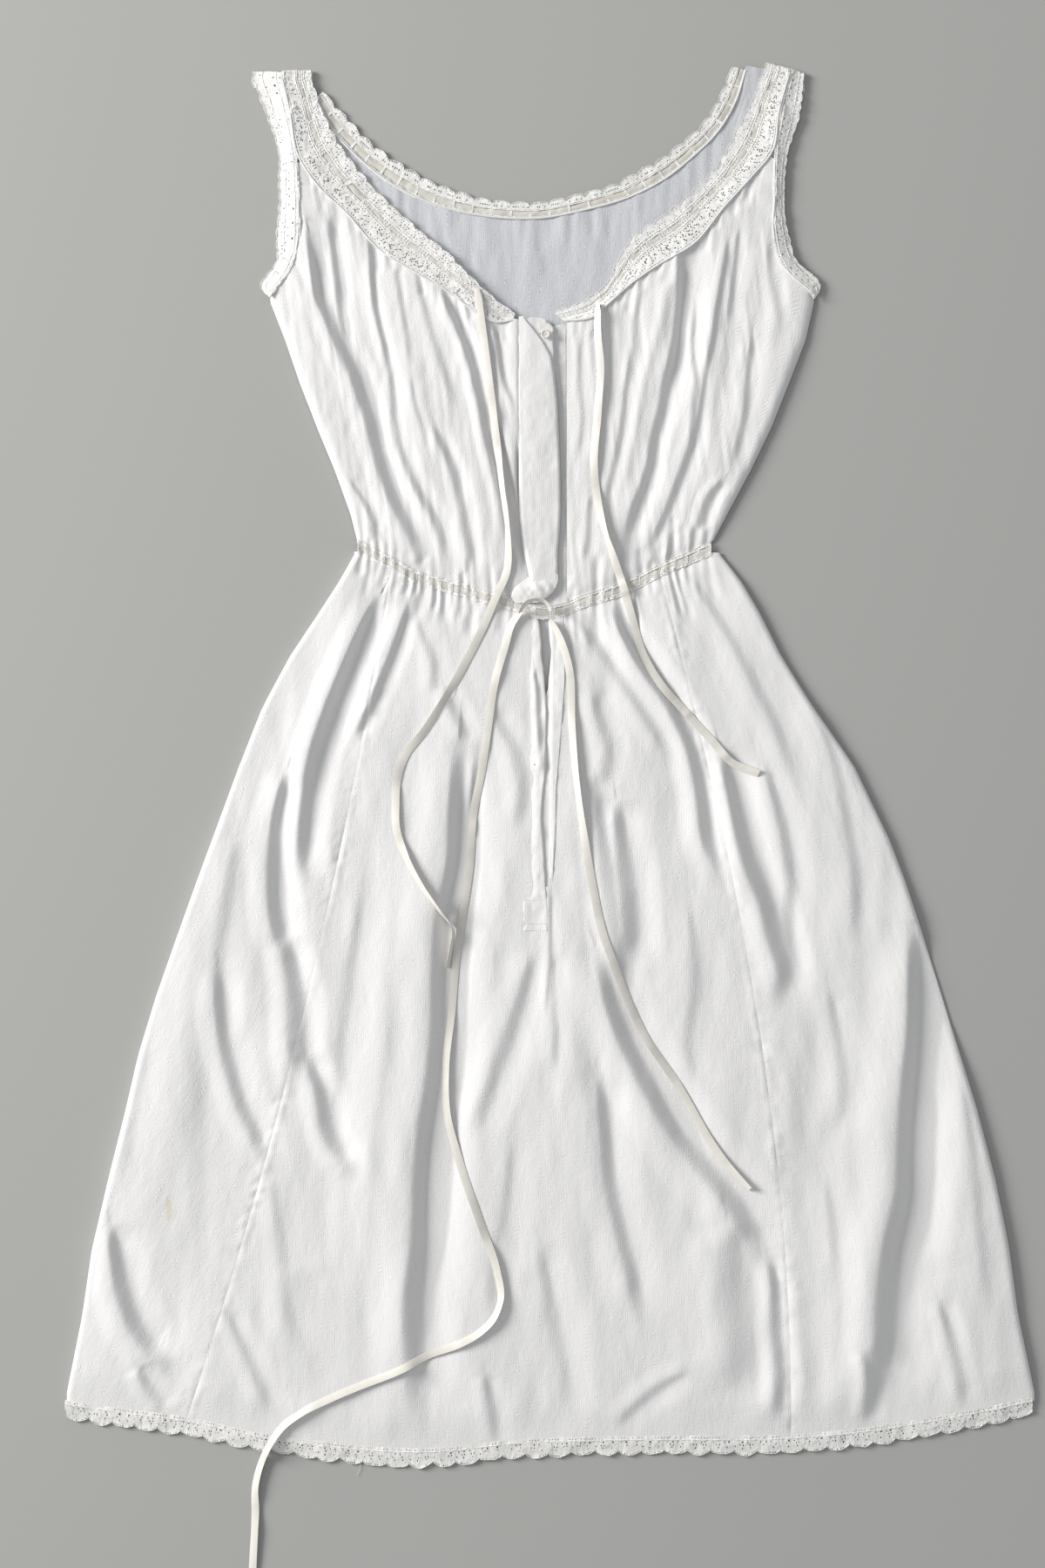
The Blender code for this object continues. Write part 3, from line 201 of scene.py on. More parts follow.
# Materials
class Weave:
    # builds a material's nodes one below another
    def __init__(self, name):
        self.material = bpy.data.materials.new(name)
        self.material.use_nodes = True
        self.tree = self.material.node_tree
        self.shader = self.tree.nodes["Principled BSDF"]

    def add(self, kind, inputs=None, **settings):
        made = self.tree.nodes.new(kind)
        for key, value in settings.items():
            setattr(made, key, value)
        for key, value in (inputs or {}).items():
            self.put(made.inputs[key], value)
        return made

    def put(self, socket, value):
        if isinstance(value, bpy.types.NodeSocket):
            self.tree.links.new(value, socket)
        else:
            socket.default_value = value

    def sum(self, operation, *values):
        made = self.add("ShaderNodeMath", operation=operation)
        for i, value in enumerate(values):
            self.put(made.inputs[i], value)
        return made.outputs[0]

    def noise(self, vector, scale, detail=2.0):
        made = self.add("ShaderNodeTexNoise", {"Vector": vector, "Scale": scale, "Detail": detail})
        return made.outputs["Fac"]

    def stretched(self, vector, x, y):
        return self.add("ShaderNodeMapping", {"Vector": vector, "Scale": (x, y, 1.0)}).outputs[0]

    def blend(self, share, low, high):
        made = self.add("ShaderNodeMix", data_type="RGBA")
        self.put(made.inputs[0], share)
        self.put(made.inputs[6], low)
        self.put(made.inputs[7], high)
        return made.outputs[2]

    def bump(self, height, distance, strength, normal=None):
        made = self.add("ShaderNodeBump", {"Height": height, "Distance": distance, "Strength": strength})
        if normal is not None:
            self.put(made.inputs["Normal"], normal)
        return made.outputs[0]


cotton = {
    "stripePitch": 0.0092,
    "puckerPitch": 0.0034,
    "white": (0.882, 0.875, 0.87, 1.0),
    # back: the white cotton painted darker and bluer, painted shade for the inside of the back seen between
    # the fronts
    "back": (0.62, 0.635, 0.67, 1.0),
    "puckerDepth": 0.0003,
    "creaseDepth": 0.0009,
    "stainAt": (-0.3056, -0.3535),
    "stain": (0.80, 0.71, 0.52, 1.0),
}


def cottonMaterial(name, tint, puckers=1.0, stained=False):
    weave = Weave(name)
    coordinates = weave.add("ShaderNodeUVMap", uv_map="cut").outputs[0]
    wobble = weave.noise(coordinates, 38.0, 3.0)
    parts = weave.add("ShaderNodeSeparateXYZ", {0: coordinates})
    across = weave.sum("ADD", parts.outputs[0], weave.sum("MULTIPLY", wobble, 0.0042))
    along = parts.outputs[1]
    cell = weave.sum("FRACT", weave.sum("DIVIDE", across, cotton["stripePitch"]))
    offCentre = weave.sum("ABSOLUTE", weave.sum("SUBTRACT", cell, 0.5))
    stripe = weave.add(
        "ShaderNodeMapRange", {0: offCentre, 1: 0.2, 2: 0.05, 3: 0.0, 4: 1.0}, interpolation_type="SMOOTHSTEP"
    ).outputs[0]
    slant = weave.sum("MULTIPLY", across, 2 * math.pi / 0.006)
    turn = weave.sum("MULTIPLY", weave.noise(coordinates, 150.0, 3.0), 14.0)
    phase = weave.sum("ADD", weave.sum("MULTIPLY", along, 2 * math.pi / cotton["puckerPitch"]), slant)
    pucker = weave.sum("MULTIPLY", weave.sum("SINE", weave.sum("ADD", phase, turn)), stripe)
    patchy = weave.add("ShaderNodeMapRange", {0: weave.noise(coordinates, 55.0), 1: 0.38, 2: 0.66}).outputs[0]
    pucker = weave.sum("MULTIPLY", weave.sum("MULTIPLY", pucker, patchy), puckers)
    cords = weave.sum("SINE", weave.sum("MULTIPLY", across, 2 * math.pi / 0.0013))
    grain = weave.noise(weave.stretched(coordinates, 1.0, 0.14), 1000.0, 2.0)
    mottle = weave.noise(weave.stretched(coordinates, 1.0, 0.7), 300.0, 3.0)
    fine = weave.sum("ADD", weave.sum("MULTIPLY", pucker, 0.34), weave.sum("MULTIPLY", cords, 0.05))
    fine = weave.sum("ADD", fine, weave.sum("MULTIPLY", grain, 0.45))
    fine = weave.sum("ADD", fine, weave.sum("MULTIPLY", mottle, 0.5))
    crumple = weave.noise(weave.stretched(coordinates, 1.0, 0.4), 75.0, 5.0)
    normal = weave.bump(crumple, cotton["creaseDepth"], 0.55)
    normal = weave.bump(fine, cotton["puckerDepth"], 1.0, normal)
    weave.put(weave.shader.inputs["Normal"], normal)
    cloudy = weave.noise(coordinates, 9.0, 3.0)
    dark = tuple(c * 0.94 for c in tint[:3]) + (1.0,)
    base = weave.blend(cloudy, dark, tint)
    # the cloth is painted lighter where the puckers and the weave grain rise: painted highlight on their
    # crests
    puckerAndGrainHighlight = weave.sum("ADD", weave.sum("MULTIPLY", pucker, 0.2), weave.sum("MULTIPLY", grain, 0.3))
    colour = weave.blend(puckerAndGrainHighlight, base, (0.95, 0.95, 0.95, 1.0))
    if stained:
        place = weave.add("ShaderNodeSeparateXYZ", {0: weave.add("ShaderNodeTexCoord").outputs["Object"]})
        ragged = weave.sum("MULTIPLY", weave.noise(coordinates, 260.0), 1.5)
        aside = weave.sum("DIVIDE", weave.sum("SUBTRACT", place.outputs[0], cotton["stainAt"][0]), 0.0028)
        above = weave.sum("DIVIDE", weave.sum("SUBTRACT", place.outputs[1], cotton["stainAt"][1]), 0.0095)
        reach = weave.sum("ADD", weave.sum("MULTIPLY", aside, aside), weave.sum("MULTIPLY", above, above))
        edge = weave.sum("ADD", reach, ragged)
        spot = weave.add("ShaderNodeMapRange", {0: edge, 1: 2.4, 2: 0.8, 4: 0.7}).outputs[0]
        colour = weave.blend(spot, colour, cotton["stain"])
    weave.put(weave.shader.inputs["Base Color"], colour)
    weave.shader.inputs["Roughness"].default_value = 0.85
    weave.shader.inputs["Sheen Weight"].default_value = 0.1
    weave.shader.inputs["Sheen Roughness"].default_value = 0.5
    weave.shader.inputs["Specular IOR Level"].default_value = 0.2
    return weave.material


def threadMaterial(name, light, dark):
    weave = Weave(name)
    place = weave.add("ShaderNodeTexCoord").outputs["Object"]
    strands = weave.noise(place, 1500.0, 2.0)
    cloudy = weave.noise(place, 40.0)
    weave.put(weave.shader.inputs["Normal"], weave.bump(strands, 0.0004, 0.6))
    weave.put(weave.shader.inputs["Base Color"], weave.blend(cloudy, dark, light))
    weave.shader.inputs["Roughness"].default_value = 0.75
    weave.shader.inputs["Sheen Weight"].default_value = 0.15
    weave.shader.inputs["Specular IOR Level"].default_value = 0.3
    return weave.material


def satinMaterial(name, light, dark):
    weave = Weave(name)
    coordinates = weave.add("ShaderNodeUVMap", uv_map="cut").outputs[0]
    threads = weave.noise(weave.stretched(coordinates, 1.0, 0.04), 2400.0, 1.0)
    rippleAndSheen = weave.noise(weave.stretched(coordinates, 0.6, 1.0), 90.0)
    normal = weave.bump(rippleAndSheen, 0.0007, 0.5)
    weave.put(weave.shader.inputs["Normal"], weave.bump(threads, 0.00008, 0.5, normal))
    # the satin is painted lighter on the crests of the same ripple that bumps it: painted sheen
    weave.put(weave.shader.inputs["Base Color"], weave.blend(rippleAndSheen, dark, light))
    weave.shader.inputs["Roughness"].default_value = 0.34
    weave.shader.inputs["Sheen Weight"].default_value = 0.1
    weave.shader.inputs["Specular IOR Level"].default_value = 0.6
    return weave.material


frontCotton = cottonMaterial("cotton_front", cotton["white"])
sideCotton = cottonMaterial("cotton_side", cotton["white"], stained=True)
bandCotton = cottonMaterial("cotton_band", cotton["white"], 0.25)
# the back panel's cotton is a darker copy of the white: painted shade
shadedBackCotton = cottonMaterial("cotton_back_shaded", cotton["back"])
laceThread = threadMaterial("lace_thread", (0.95, 0.945, 0.925, 1.0), (0.905, 0.895, 0.865, 1.0))
sewingThread = threadMaterial("sewing_thread", (0.88, 0.88, 0.87, 1.0), (0.80, 0.80, 0.80, 1.0))
satin = satinMaterial("ribbon_satin", (0.84, 0.815, 0.76, 1.0), (0.76, 0.732, 0.665, 1.0))
# the ribbon in the beadings is a darker copy of the satin: painted shade where it runs under the lace
shadedThreadedSatin = satinMaterial("ribbon_threaded_shaded", (0.80, 0.775, 0.71, 1.0), (0.70, 0.675, 0.605, 1.0))
shell = threadMaterial("button_shell", (0.88, 0.855, 0.79, 1.0), (0.80, 0.76, 0.68, 1.0))
shell.node_tree.nodes["Principled BSDF"].inputs["Roughness"].default_value = 0.28
print("materials ready")


def makePiece(name, points, faces, material, slot, cut=None, creaseAngle=0):
    # points are in millimetres of the drawing; cut gives each point's place on the flat cloth, in metres
    placed = np.array(points, float)
    placed[:, :2] += drawingShift
    mesh = bpy.data.meshes.new(name)
    faces = np.array(faces)
    mesh.vertices.add(len(placed))
    mesh.vertices.foreach_set("co", (placed * mm).ravel())
    mesh.loops.add(faces.size)
    mesh.loops.foreach_set("vertex_index", faces.ravel())
    mesh.polygons.add(len(faces))
    mesh.polygons.foreach_set("loop_start", np.arange(0, faces.size, faces.shape[1]))
    mesh.polygons.foreach_set("loop_total", np.full(len(faces), faces.shape[1]))
    mesh.update(calc_edges=True)
    if cut is not None:
        layer = mesh.uv_layers.new(name="cut")
        layer.data.foreach_set("uv", np.asarray(cut, float)[faces.ravel()].ravel())
    mesh.shade_smooth()
    if creaseAngle:
        mesh.set_sharp_from_angle(angle=math.radians(creaseAngle))
    mesh.materials.append(material)
    piece = bpy.data.objects.new(name, mesh)
    bpy.context.scene.collection.objects.link(piece)
    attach(piece, "root")
    return piece


def gridFaces(rows, columns, keep=None):
    i, j = np.meshgrid(np.arange(rows - 1), np.arange(columns - 1), indexing="ij")
    if keep is not None:
        i, j = i[keep], j[keep]
    corner = (i * columns + j).ravel()
    return np.stack([corner, corner + columns, corner + columns + 1, corner + 1], axis=1)


cutSizes = {}


def clothPiece(name, x, y, z, u, v, material, keep=None):
    places = np.stack([x, y, z], axis=-1)
    cut = np.stack([u, v], axis=-1).reshape(-1, 2) * mm
    piece = makePiece(name, places.reshape(-1, 3), gridFaces(*x.shape, keep), material, "cloth", cut)
    # the cloth's own size, measured over its folds: greatest width, mean length and area, in metres
    wide, long = np.diff(places, axis=1), np.diff(places, axis=0)
    area = np.linalg.norm(np.cross(wide[:-1], long[:, :-1]), axis=-1)
    if keep is not None:
        area = area[keep]
    width = np.linalg.norm(wide, axis=-1).sum(axis=1).max() * mm
    length = np.linalg.norm(long, axis=-1).sum(axis=0).mean() * mm
    cutSizes[name] = (width, length, area.sum() * mm * mm)
    return piece


def tubes(lines, radius, sides=4, flatness=0.5):
    # one tube along each line, a little flattened
    points, faces, first = [], [], 0
    turn = 2 * math.pi * np.arange(sides) / sides + math.pi / sides
    ring = np.stack([np.cos(turn), np.sin(turn) * flatness], axis=1) * radius
    alike = {}
    for line in lines:
        alike.setdefault(len(line), []).append(line)
    for count, group in alike.items():
        group = np.array(group, float)
        ahead = np.gradient(group, axis=1)
        side = np.stack([-ahead[..., 1], ahead[..., 0], 0 * ahead[..., 0]], axis=-1)
        side /= np.maximum(np.linalg.norm(side, axis=-1, keepdims=True), 1e-9)
        body = group[:, :, None, :] + ring[None, None, :, :1] * side[:, :, None, :]
        body[..., 2] += ring[None, None, :, 1]
        points.append(body.reshape(-1, 3))
        n, i, k = np.meshgrid(np.arange(len(group)), np.arange(count - 1), np.arange(sides), indexing="ij")
        a = first + (n * count + i) * sides + k
        b = first + (n * count + i) * sides + (k + 1) % sides
        faces.append(np.stack([a, b, b + sides, a + sides], axis=-1).reshape(-1, 4))
        first += group.shape[0] * count * sides
    return np.concatenate(points), np.concatenate(faces)


def threadPiece(name, lines, radius, sides=4, flatness=0.5):
    return makePiece(name, *tubes(lines, radius, sides, flatness), sewingThread, "cloth")


# The form of the cloth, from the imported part
def nodeMesh(*names):
    points, faces = [], []
    for name in names:
        mesh = frame["nodes"][name].data
        first = len(points)
        points += [vertex.co / mm - Vector((*drawingShift, 0.0)) for vertex in mesh.vertices]
        faces += [[first + v for v in face.vertices] for face in mesh.polygons]
    return points, faces


def edgesAcross(name, axis, levels):
    # lowest and highest place where the node's mesh crosses each level of one axis
    mesh = frame["nodes"][name].data
    points = np.array([vertex.co[:] for vertex in mesh.vertices]) / mm
    points[:, :2] -= drawingShift
    pairs = np.array([edge.vertices[:] for edge in mesh.edges])
    a, b = points[pairs[:, 0]], points[pairs[:, 1]]
    other = 1 - axis
    low, high = [], []
    for level in levels:
        crosses = (a[:, axis] - level) * (b[:, axis] - level) <= 0
        start, end = a[crosses], b[crosses]
        span = end[:, axis] - start[:, axis]
        share = np.where(np.abs(span) > 1e-9, (level - start[:, axis]) / np.where(span == 0, 1, span), 0)
        at = start[:, other] + (end[:, other] - start[:, other]) * share
        low.append(at.min())
        high.append(at.max())
    return np.array(low), np.array(high)


def edgeLine(name, axis, start, stop, which, count=60):
    # the node's outline as a function of the level along one axis
    low, high = np.array(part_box(name))[:, axis] / mm - drawingShift[axis]
    levels = np.linspace(max(start, low + 0.4), min(stop, high - 0.4), count)
    found = edgesAcross(name, axis, levels)[which]
    return lambda level: np.interp(level, levels, found)


print("frame pieces", len(frame["nodes"]), "shift", drawingShift)


def smoothSeam(name, which):
    levels = np.linspace(-480, 110, 60)
    return np.poly1d(np.polyfit(levels, edgesAcross(name, 1, levels)[which], 3))


seamLeft = smoothSeam("skirt_front", 0)
seamRight = smoothSeam("skirt_front", 1)
sideLeft = edgeLine("skirt_side_left", 1, -505, 168, 0)
sideRight = edgeLine("skirt_side_right", 1, -505, 168, 1)
waistLeftLow = edgeLine("waist_beading_left", 0, -153, -7, 0)
waistRightLow = edgeLine("waist_beading_right", 0, -4, 130, 0)
hemTop = edgeLine("hem_lace_back", 0, -388, 387, 1, 120)
bodiceLeft = edgeLine("bodice_back", 1, 176, 370, 0)
bodiceRight = edgeLine("bodice_back", 1, 176, 370, 1)


def waistLow(x):
    return np.where(np.asarray(x) < -5.5, waistLeftLow(x), waistRightLow(x))


class FormField:
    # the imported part's upper surface, smoothed so that its facets don't show
    stepX, stepY = 3.0, 4.0
    lowX, lowY, highX, highY = -400.0, -590.0, 400.0, 590.0
    blurX, blurY = 7.0, 20.0

    def __init__(self, names):
        tree = BVHTree.FromPolygons(*nodeMesh(*names))
        self.x = np.arange(self.lowX, self.highX, self.stepX)
        self.y = np.arange(self.lowY, self.highY, self.stepY)
        height = np.zeros((len(self.y), len(self.x)))
        found = np.zeros_like(height)
        down = Vector((0.0, 0.0, -1.0))
        for j, y in enumerate(self.y):
            for i, x in enumerate(self.x):
                hit = tree.ray_cast(Vector((x, y, 60.0)), down)[0]
                if hit is not None and hit.z > 2.0:
                    height[j, i], found[j, i] = hit.z, 1.0
        weight = self.blurred(found)
        self.height = self.blurred(height * found) / np.maximum(weight, 1e-6)
        self.height[weight < 1e-3] = 4.0

    def blurred(self, field):
        for axis, (blur, step) in enumerate(((self.blurY, self.stepY), (self.blurX, self.stepX))):
            reach = int(3 * blur / step)
            kernel = np.exp(-0.5 * (np.arange(-reach, reach + 1) * step / blur) ** 2)
            kernel /= kernel.sum()
            field = np.apply_along_axis(lambda row: np.convolve(row, kernel, "same"), axis, field)
        return field

    def at(self, x, y):
        gx = np.clip((np.asarray(x) - self.lowX) / self.stepX, 0, len(self.x) - 1.001)
        gy = np.clip((np.asarray(y) - self.lowY) / self.stepY, 0, len(self.y) - 1.001)
        i, j = gx.astype(int), gy.astype(int)
        fx, fy = gx - i, gy - j
        low = mix(self.height[j, i], self.height[j, i + 1], fx)
        high = mix(self.height[j + 1, i], self.height[j + 1, i + 1], fx)
        return mix(low, high, fy)


skirtForm = FormField(("skirt_front", "skirt_side_left", "skirt_side_right"))
bodiceForm = FormField(("bodice_front_left", "bodice_front_right"))
print("form ready")

# Folds in the cloth: how far it falls, across what width, how far off it comes up again, and the
# line that the fall follows from its top end
skirtFolds = (
    (6.0, 10, 18, (
        (-136, 135), (-142, 124), (-150, 107), (-164, 74), (-177, 41), (-189, 3), (-196, -41),
        (-198, -79), (-194, -107),
    )),
    (2.8, 6, 12, ((-112, 130), (-123, 96), (-136, 63), (-145, 41), (-158, 14))),
    (5.0, 10, 20, ((-210, -6), (-219, -46), (-221, -79), (-221, -112), (-216, -140), (-208, -156))),
    (4.8, 15, 18, ((-212, -140), (-203, -189), (-202, -233), (-197, -262))),
    (4.0, 11, 16, ((-194, -236), (-183, -266), (-178, -294), (-164, -316), (-150, -321))),
    (3.6, 10, 18, ((-266, -165), (-263, -211), (-256, -244), (-246, -277), (-235, -299), (-227, -326))),
    (1.6, 12, 24, ((-250, -60), (-256, -96), (-264, -145), (-268, -189))),
    (8.8, 17, 34, (
        (-72, 18), (-75, -35), (-76, -79), (-84, -123), (-87, -167), (-87, -211), (-91, -255),
        (-98, -299), (-101, -343), (-103, -387), (-109, -431), (-109, -470), (-106, -508), (-98, -545),
    )),
    (2.2, 6, 9, ((-58, 8), (-63, -40), (-65, -79), (-72, -150), (-76, -200), (-79, -250))),
    (2.6, 12, 20, ((-12, -150), (-26, -200), (-40, -239), (-54, -277), (-65, -305))),
    (0.9, 2.4, 8, ((1, -98), (1, -125), (1, -150), (-1, -180), (-3, -205))),
    (1.2, 6, 12, ((4, -150), (3, -180), (5, -211), (4, -250))),
    (1.6, 4, 7, ((-12, 78), (-9, 55), (-8, 30), (-6, 6))),
    (3.4, 12, 18, ((38, -20), (40, -41), (45, -79), (49, -118), (55, -156), (67, -189))),
    (6.6, 15, 30, (
        (38, -150), (56, -211), (72, -244), (94, -283), (122, -321), (149, -354), (166, -387),
        (168, -415),
    )),
    (3.4, 11, 24, ((40, -250), (45, -299), (50, -343), (59, -382), (67, -415), (74, -452))),
    (5.4, 14, 20, ((54, -30), (59, -68), (63, -96), (65, -123), (66, -165))),
    (2.0, 10, 14, ((36, 60), (39, 41), (48, 14), (42, -22))),
    (5.8, 10, 18, (
        (50, 128), (59, 107), (78, 74), (94, 52), (111, 19), (122, -24), (127, -63), (143, -96),
    )),
    (2.0, 9, 14, ((16, 122), (28, 107), (45, 85), (64, 58), (83, 30), (103, -3))),
    (6.2, 13, 20, (
        (137, 12), (141, -3), (149, -35), (160, -79), (174, -112), (182, -145), (188, -167),
        (180, -200),
    )),
    (2.6, 10, 16, ((172, 4), (177, -14), (188, -52), (193, -90), (193, -134), (198, -172))),
    (1.6, 9, 18, ((112, 152), (140, 110), (166, 62), (186, 20), (196, -20))),
    (1.6, 9, 20, ((208, 54), (226, 10), (238, -40), (246, -96), (244, -150))),
    (1.4, 8, 16, ((150, 158), (186, 100), (216, 54), (240, 4), (258, -50))),
    (9.6, 19, 38, (
        (292, -130), (293, -167), (293, -211), (290, -255), (287, -299), (286, -343), (276, -387),
        (270, -431), (268, -464), (257, -508), (250, -545),
    )),
    (2.2, 9, 12, ((312, -430), (320, -453), (328, -486), (333, -520))),
    (2.0, 8, 12, ((250, -470), (258, -495), (254, -530))),
    (2.0, 12, 20, ((-8, -385), (-4, -409), (7, -464), (20, -535))),
    (1.8, 8, 12, ((-52, -490), (-48, -508), (-42, -548))),
    (1.8, 8, 14, ((112, -488), (105, -491), (72, -513), (52, -534))),
    (4.4, 28, 30, ((142, -370), (144, -387), (149, -431), (155, -464), (147, -510))),
    (3.6, 10, 14, ((176, -395), (180, -415), (182, -453), (185, -492), (181, -530))),
    (5.0, 12, 24, ((-352, -370), (-348, -393), (-340, -431), (-331, -453), (-318, -470), (-298, -477))),
    (2.4, 9, 14, ((-330, -484), (-323, -497), (-308, -520))),
    (1.3, 10, 20, ((-222, -330), (-219, -354), (-213, -398), (-208, -442), (-195, -476))),
    (1.6, 8, 14, ((-258, -440), (-240, -480), (-222, -520))),
    (1.8, 8, 12, ((-84, 62), (-81, 52), (-70, 30), (-66, 14))),
    (1.8, 10, 14, ((-48, 44), (-43, 36), (-29, 14), (-21, -19), (-27, -56))),
    (1.2, 7, 12, ((-106, 118), (-103, 107), (-92, 80), (-93, 54))),
    (1.6, 10, 20, ((224, -180), (232, -225), (236, -262), (228, -300))),
    (1.4, 12, 24, ((-310, -130), (-322, -200), (-334, -280), (-344, -350))),
    (1.2, 10, 20, ((-150, -100), (-160, -170), (-168, -240), (-172, -300))),
    (1.0, 9, 18, ((-30, -300), (-34, -350), (-46, -410), (-44, -460))),
    (1.1, 9, 18, ((112, -110), (118, -170), (112, -230), (120, -270))),
    (1.2, 9, 18, ((222, -330), (228, -380), (232, -440), (226, -500))),
    (2.4, 36, 24, ((302, -390), (298, -440), (290, -480), (284, -530))),
    (1.8, 30, 24, ((-228, -60), (-228, -140), (-216, -220))),
    (1.6, 24, 22, ((28, -10), (34, -60), (40, -110))),
    (1.8, 26, 24, ((-196, -400), (-200, -450), (-196, -510))),
    (1.1, 8, 14, ((330, -250), (340, -310), (346, -380), (352, -440))),
)
bodiceFolds = (
    (5.4, 9, 14, (
        (-193, 425), (-188, 393), (-185, 374), (-177, 357), (-168, 335), (-158, 316), (-151, 296),
        (-143, 273), (-138, 251), (-131, 228), (-123, 208), (-114, 191), (-108, 178), (-101, 163),
        (-99, 148),
    )),
    (3.0, 7, 9, ((-176, 440), (-172, 406), (-170, 389), (-168, 368), (-164, 350), (-158, 332))),
    (2.8, 4, 8, (
        (-146, 425), (-143, 406), (-142, 389), (-140, 368), (-136, 350), (-132, 333), (-129, 312),
    )),
    (2.3, 6.5, 10, (
        (-130, 330), (-126, 299), (-125, 277), (-122, 256), (-116, 243), (-110, 228), (-101, 212),
        (-93, 199), (-88, 187), (-84, 171), (-80, 150),
    )),
    (2.6, 7, 9, (
        (-94, 275), (-90, 264), (-84, 251), (-77, 236), (-73, 221), (-69, 206), (-67, 191), (-63, 169),
        (-62, 146),
    )),
    (0.9, 3, 6, ((-111, 310), (-107, 286), (-101, 268), (-98, 250))),
    (1.6, 6, 10, ((-107, 390), (-99, 363), (-93, 342), (-86, 320), (-80, 303), (-75, 283))),
    (5.0, 6.5, 9, (
        (-90, 388), (-80, 365), (-73, 350), (-67, 335), (-62, 320), (-58, 303), (-54, 286), (-51, 268),
        (-47, 251), (-43, 234), (-39, 217), (-37, 200), (-34, 176),
    )),
    (2.4, 4, 6, ((-46, 356), (-41, 335), (-38, 316), (-33, 299), (-27, 288), (-25, 262))),
    (5.4, 4.5, 4, (
        (-44, 276), (-38, 243), (-33.5, 221), (-30.5, 200), (-27.5, 182), (-23.5, 168), (-20.5, 150),
    )),
    (1.6, 5, 10, ((-160, 228), (-157, 223), (-146, 206), (-140, 193), (-133, 174))),
    (1.4, 8, 12, ((-207, 405), (-196, 378), (-190, 352), (-180, 320))),
    (1.0, 4, 9, ((-124, 400), (-119, 370), (-113, 340), (-110, 316))),
    (0.9, 4, 8, ((-56, 350), (-50, 330), (-47, 300), (-42, 282))),
    (4.6, 7, 12, (
        (106, 420), (105, 391), (105, 375), (103, 353), (100, 330), (94, 307), (90, 285), (84, 262),
        (80, 239), (75, 221), (68, 203), (64, 187), (57, 160),
    )),
    (1.8, 9, 8, ((98, 395), (93, 353), (86, 325), (80, 294), (73, 262), (66, 233), (61, 200))),
    (2.6, 6, 12, (
        (118, 375), (116, 353), (115, 330), (118, 307), (116, 285), (114, 257), (107, 235), (98, 212),
        (91, 194), (84, 181), (78, 156),
    )),
    (1.6, 4, 8, (
        (144, 425), (141, 402), (138, 384), (134, 361), (132, 343), (127, 321), (123, 294), (117, 262),
        (110, 240),
    )),
    (1.3, 4, 8, ((152, 430), (150, 407), (146, 375), (143, 350))),
    (1.8, 6, 14, ((163, 345), (161, 323), (159, 303), (157, 280), (152, 257), (145, 234))),
    (2.6, 7, 8, ((140, 228), (136, 223), (129, 214), (125, 205), (121, 186))),
    (1.5, 4, 7, ((42, 366), (46, 346), (46, 323), (44, 298))),
    (1.7, 5, 10, ((66, 335), (64, 318), (60, 285), (57, 262), (52, 239), (47, 217), (41, 190))),
    (1.5, 5, 8, ((33, 215), (32, 203), (31, 180), (28, 160))),
    (1.4, 5, 9, ((98, 200), (98, 185), (95, 160))),
    (1.2, 5, 9, ((74, 385), (70, 355), (68, 325), (66, 300))),
    (1.2, 6, 12, ((176, 420), (178, 390), (184, 360), (180, 325))),
    (3.0, 26, 20, ((-188, 435), (-181, 395), (-168, 355), (-153, 312), (-140, 270))),
    (2.6, 20, 14, ((110, 425), (108, 395), (104, 360), (99, 325), (94, 290))),
    (1.8, 16, 12, ((146, 420), (142, 380), (136, 335), (130, 290), (122, 250))),
    (1.0, 4, 8, ((26, 345), (24, 310), (27, 275), (22, 240))),
)

# Where the waist ribbon draws the cloth into gathers
waistGathers = (
    -149, -142.5, -136, -129, -121, -113, -106, -99, -91, -83, -76, -69.7, -63.4, -55.7, -45.9, -37, -29,
    10, 16.4, 21.3, 31.1, 38, 45.1, 54.9, 64.7, 74.5, 80.8, 89, 96.9, 103.2, 110, 114.4, 119.3, 126,
)
gather = {
    "skirtReach": 32.0,
    "bodiceReach": 26.0,
    "depth": 0.8,
    "width": 2.6,
    "neckReach": 17.0,
    "neckDepth": 0.7,
    "neckWidth": 2.4,
}


def nearestOn(points, x, y, reach):
    # for the places near a line: how far off it they are, on its left above zero, and how far along
    at, length = curveThrough(points)
    spine = at(np.linspace(0, length, max(8, int(length / 6))))
    low, high = spine.min(axis=0) - reach, spine.max(axis=0) + reach
    near = (x > low[0]) & (x < high[0]) & (y > low[1]) & (y < high[1])
    px, py = x[near], y[near]
    best, share = np.full(px.shape, 1e9), np.zeros(px.shape)
    for k, (a, b) in enumerate(zip(spine, spine[1:])):
        run = b - a
        dx, dy = px - a[0], py - a[1]
        t = np.clip((dx * run[0] + dy * run[1]) / (run @ run), 0, 1)
        gap = np.hypot(dx - t * run[0], dy - t * run[1])
        closer = gap < np.abs(best)
        side = np.where(run[0] * dy - run[1] * dx < 0, -1, 1)
        best = np.where(closer, side * gap, best)
        share = np.where(closer, (k + t) / (len(spine) - 1), share)
    return near, best, share


def folded(x, y, folds, crestShare=0.55):
    # each fold rises gently to its crest, falls across its width and comes up slowly beyond
    lift = np.zeros_like(x)
    for depth, width, reach, points in folds:
        near, aside, share = nearestOn(points, x, y, width + reach)
        wide = width * (0.8 + 0.4 * smooth(share * 2)) / 2
        fall = smooth((aside + wide) / (2 * wide))
        crest = smooth((aside + wide + 0.9 * reach) / (0.9 * reach)) * (1 - fall)
        trough = fall * (1 - smooth((aside - wide) / reach))
        fade = smooth(share / 0.16 + 0.2) * smooth((1 - share) / 0.22 + 0.08)
        lift[near] += depth * (crestShare * crest - 0.6 * trough) * fade
    return lift


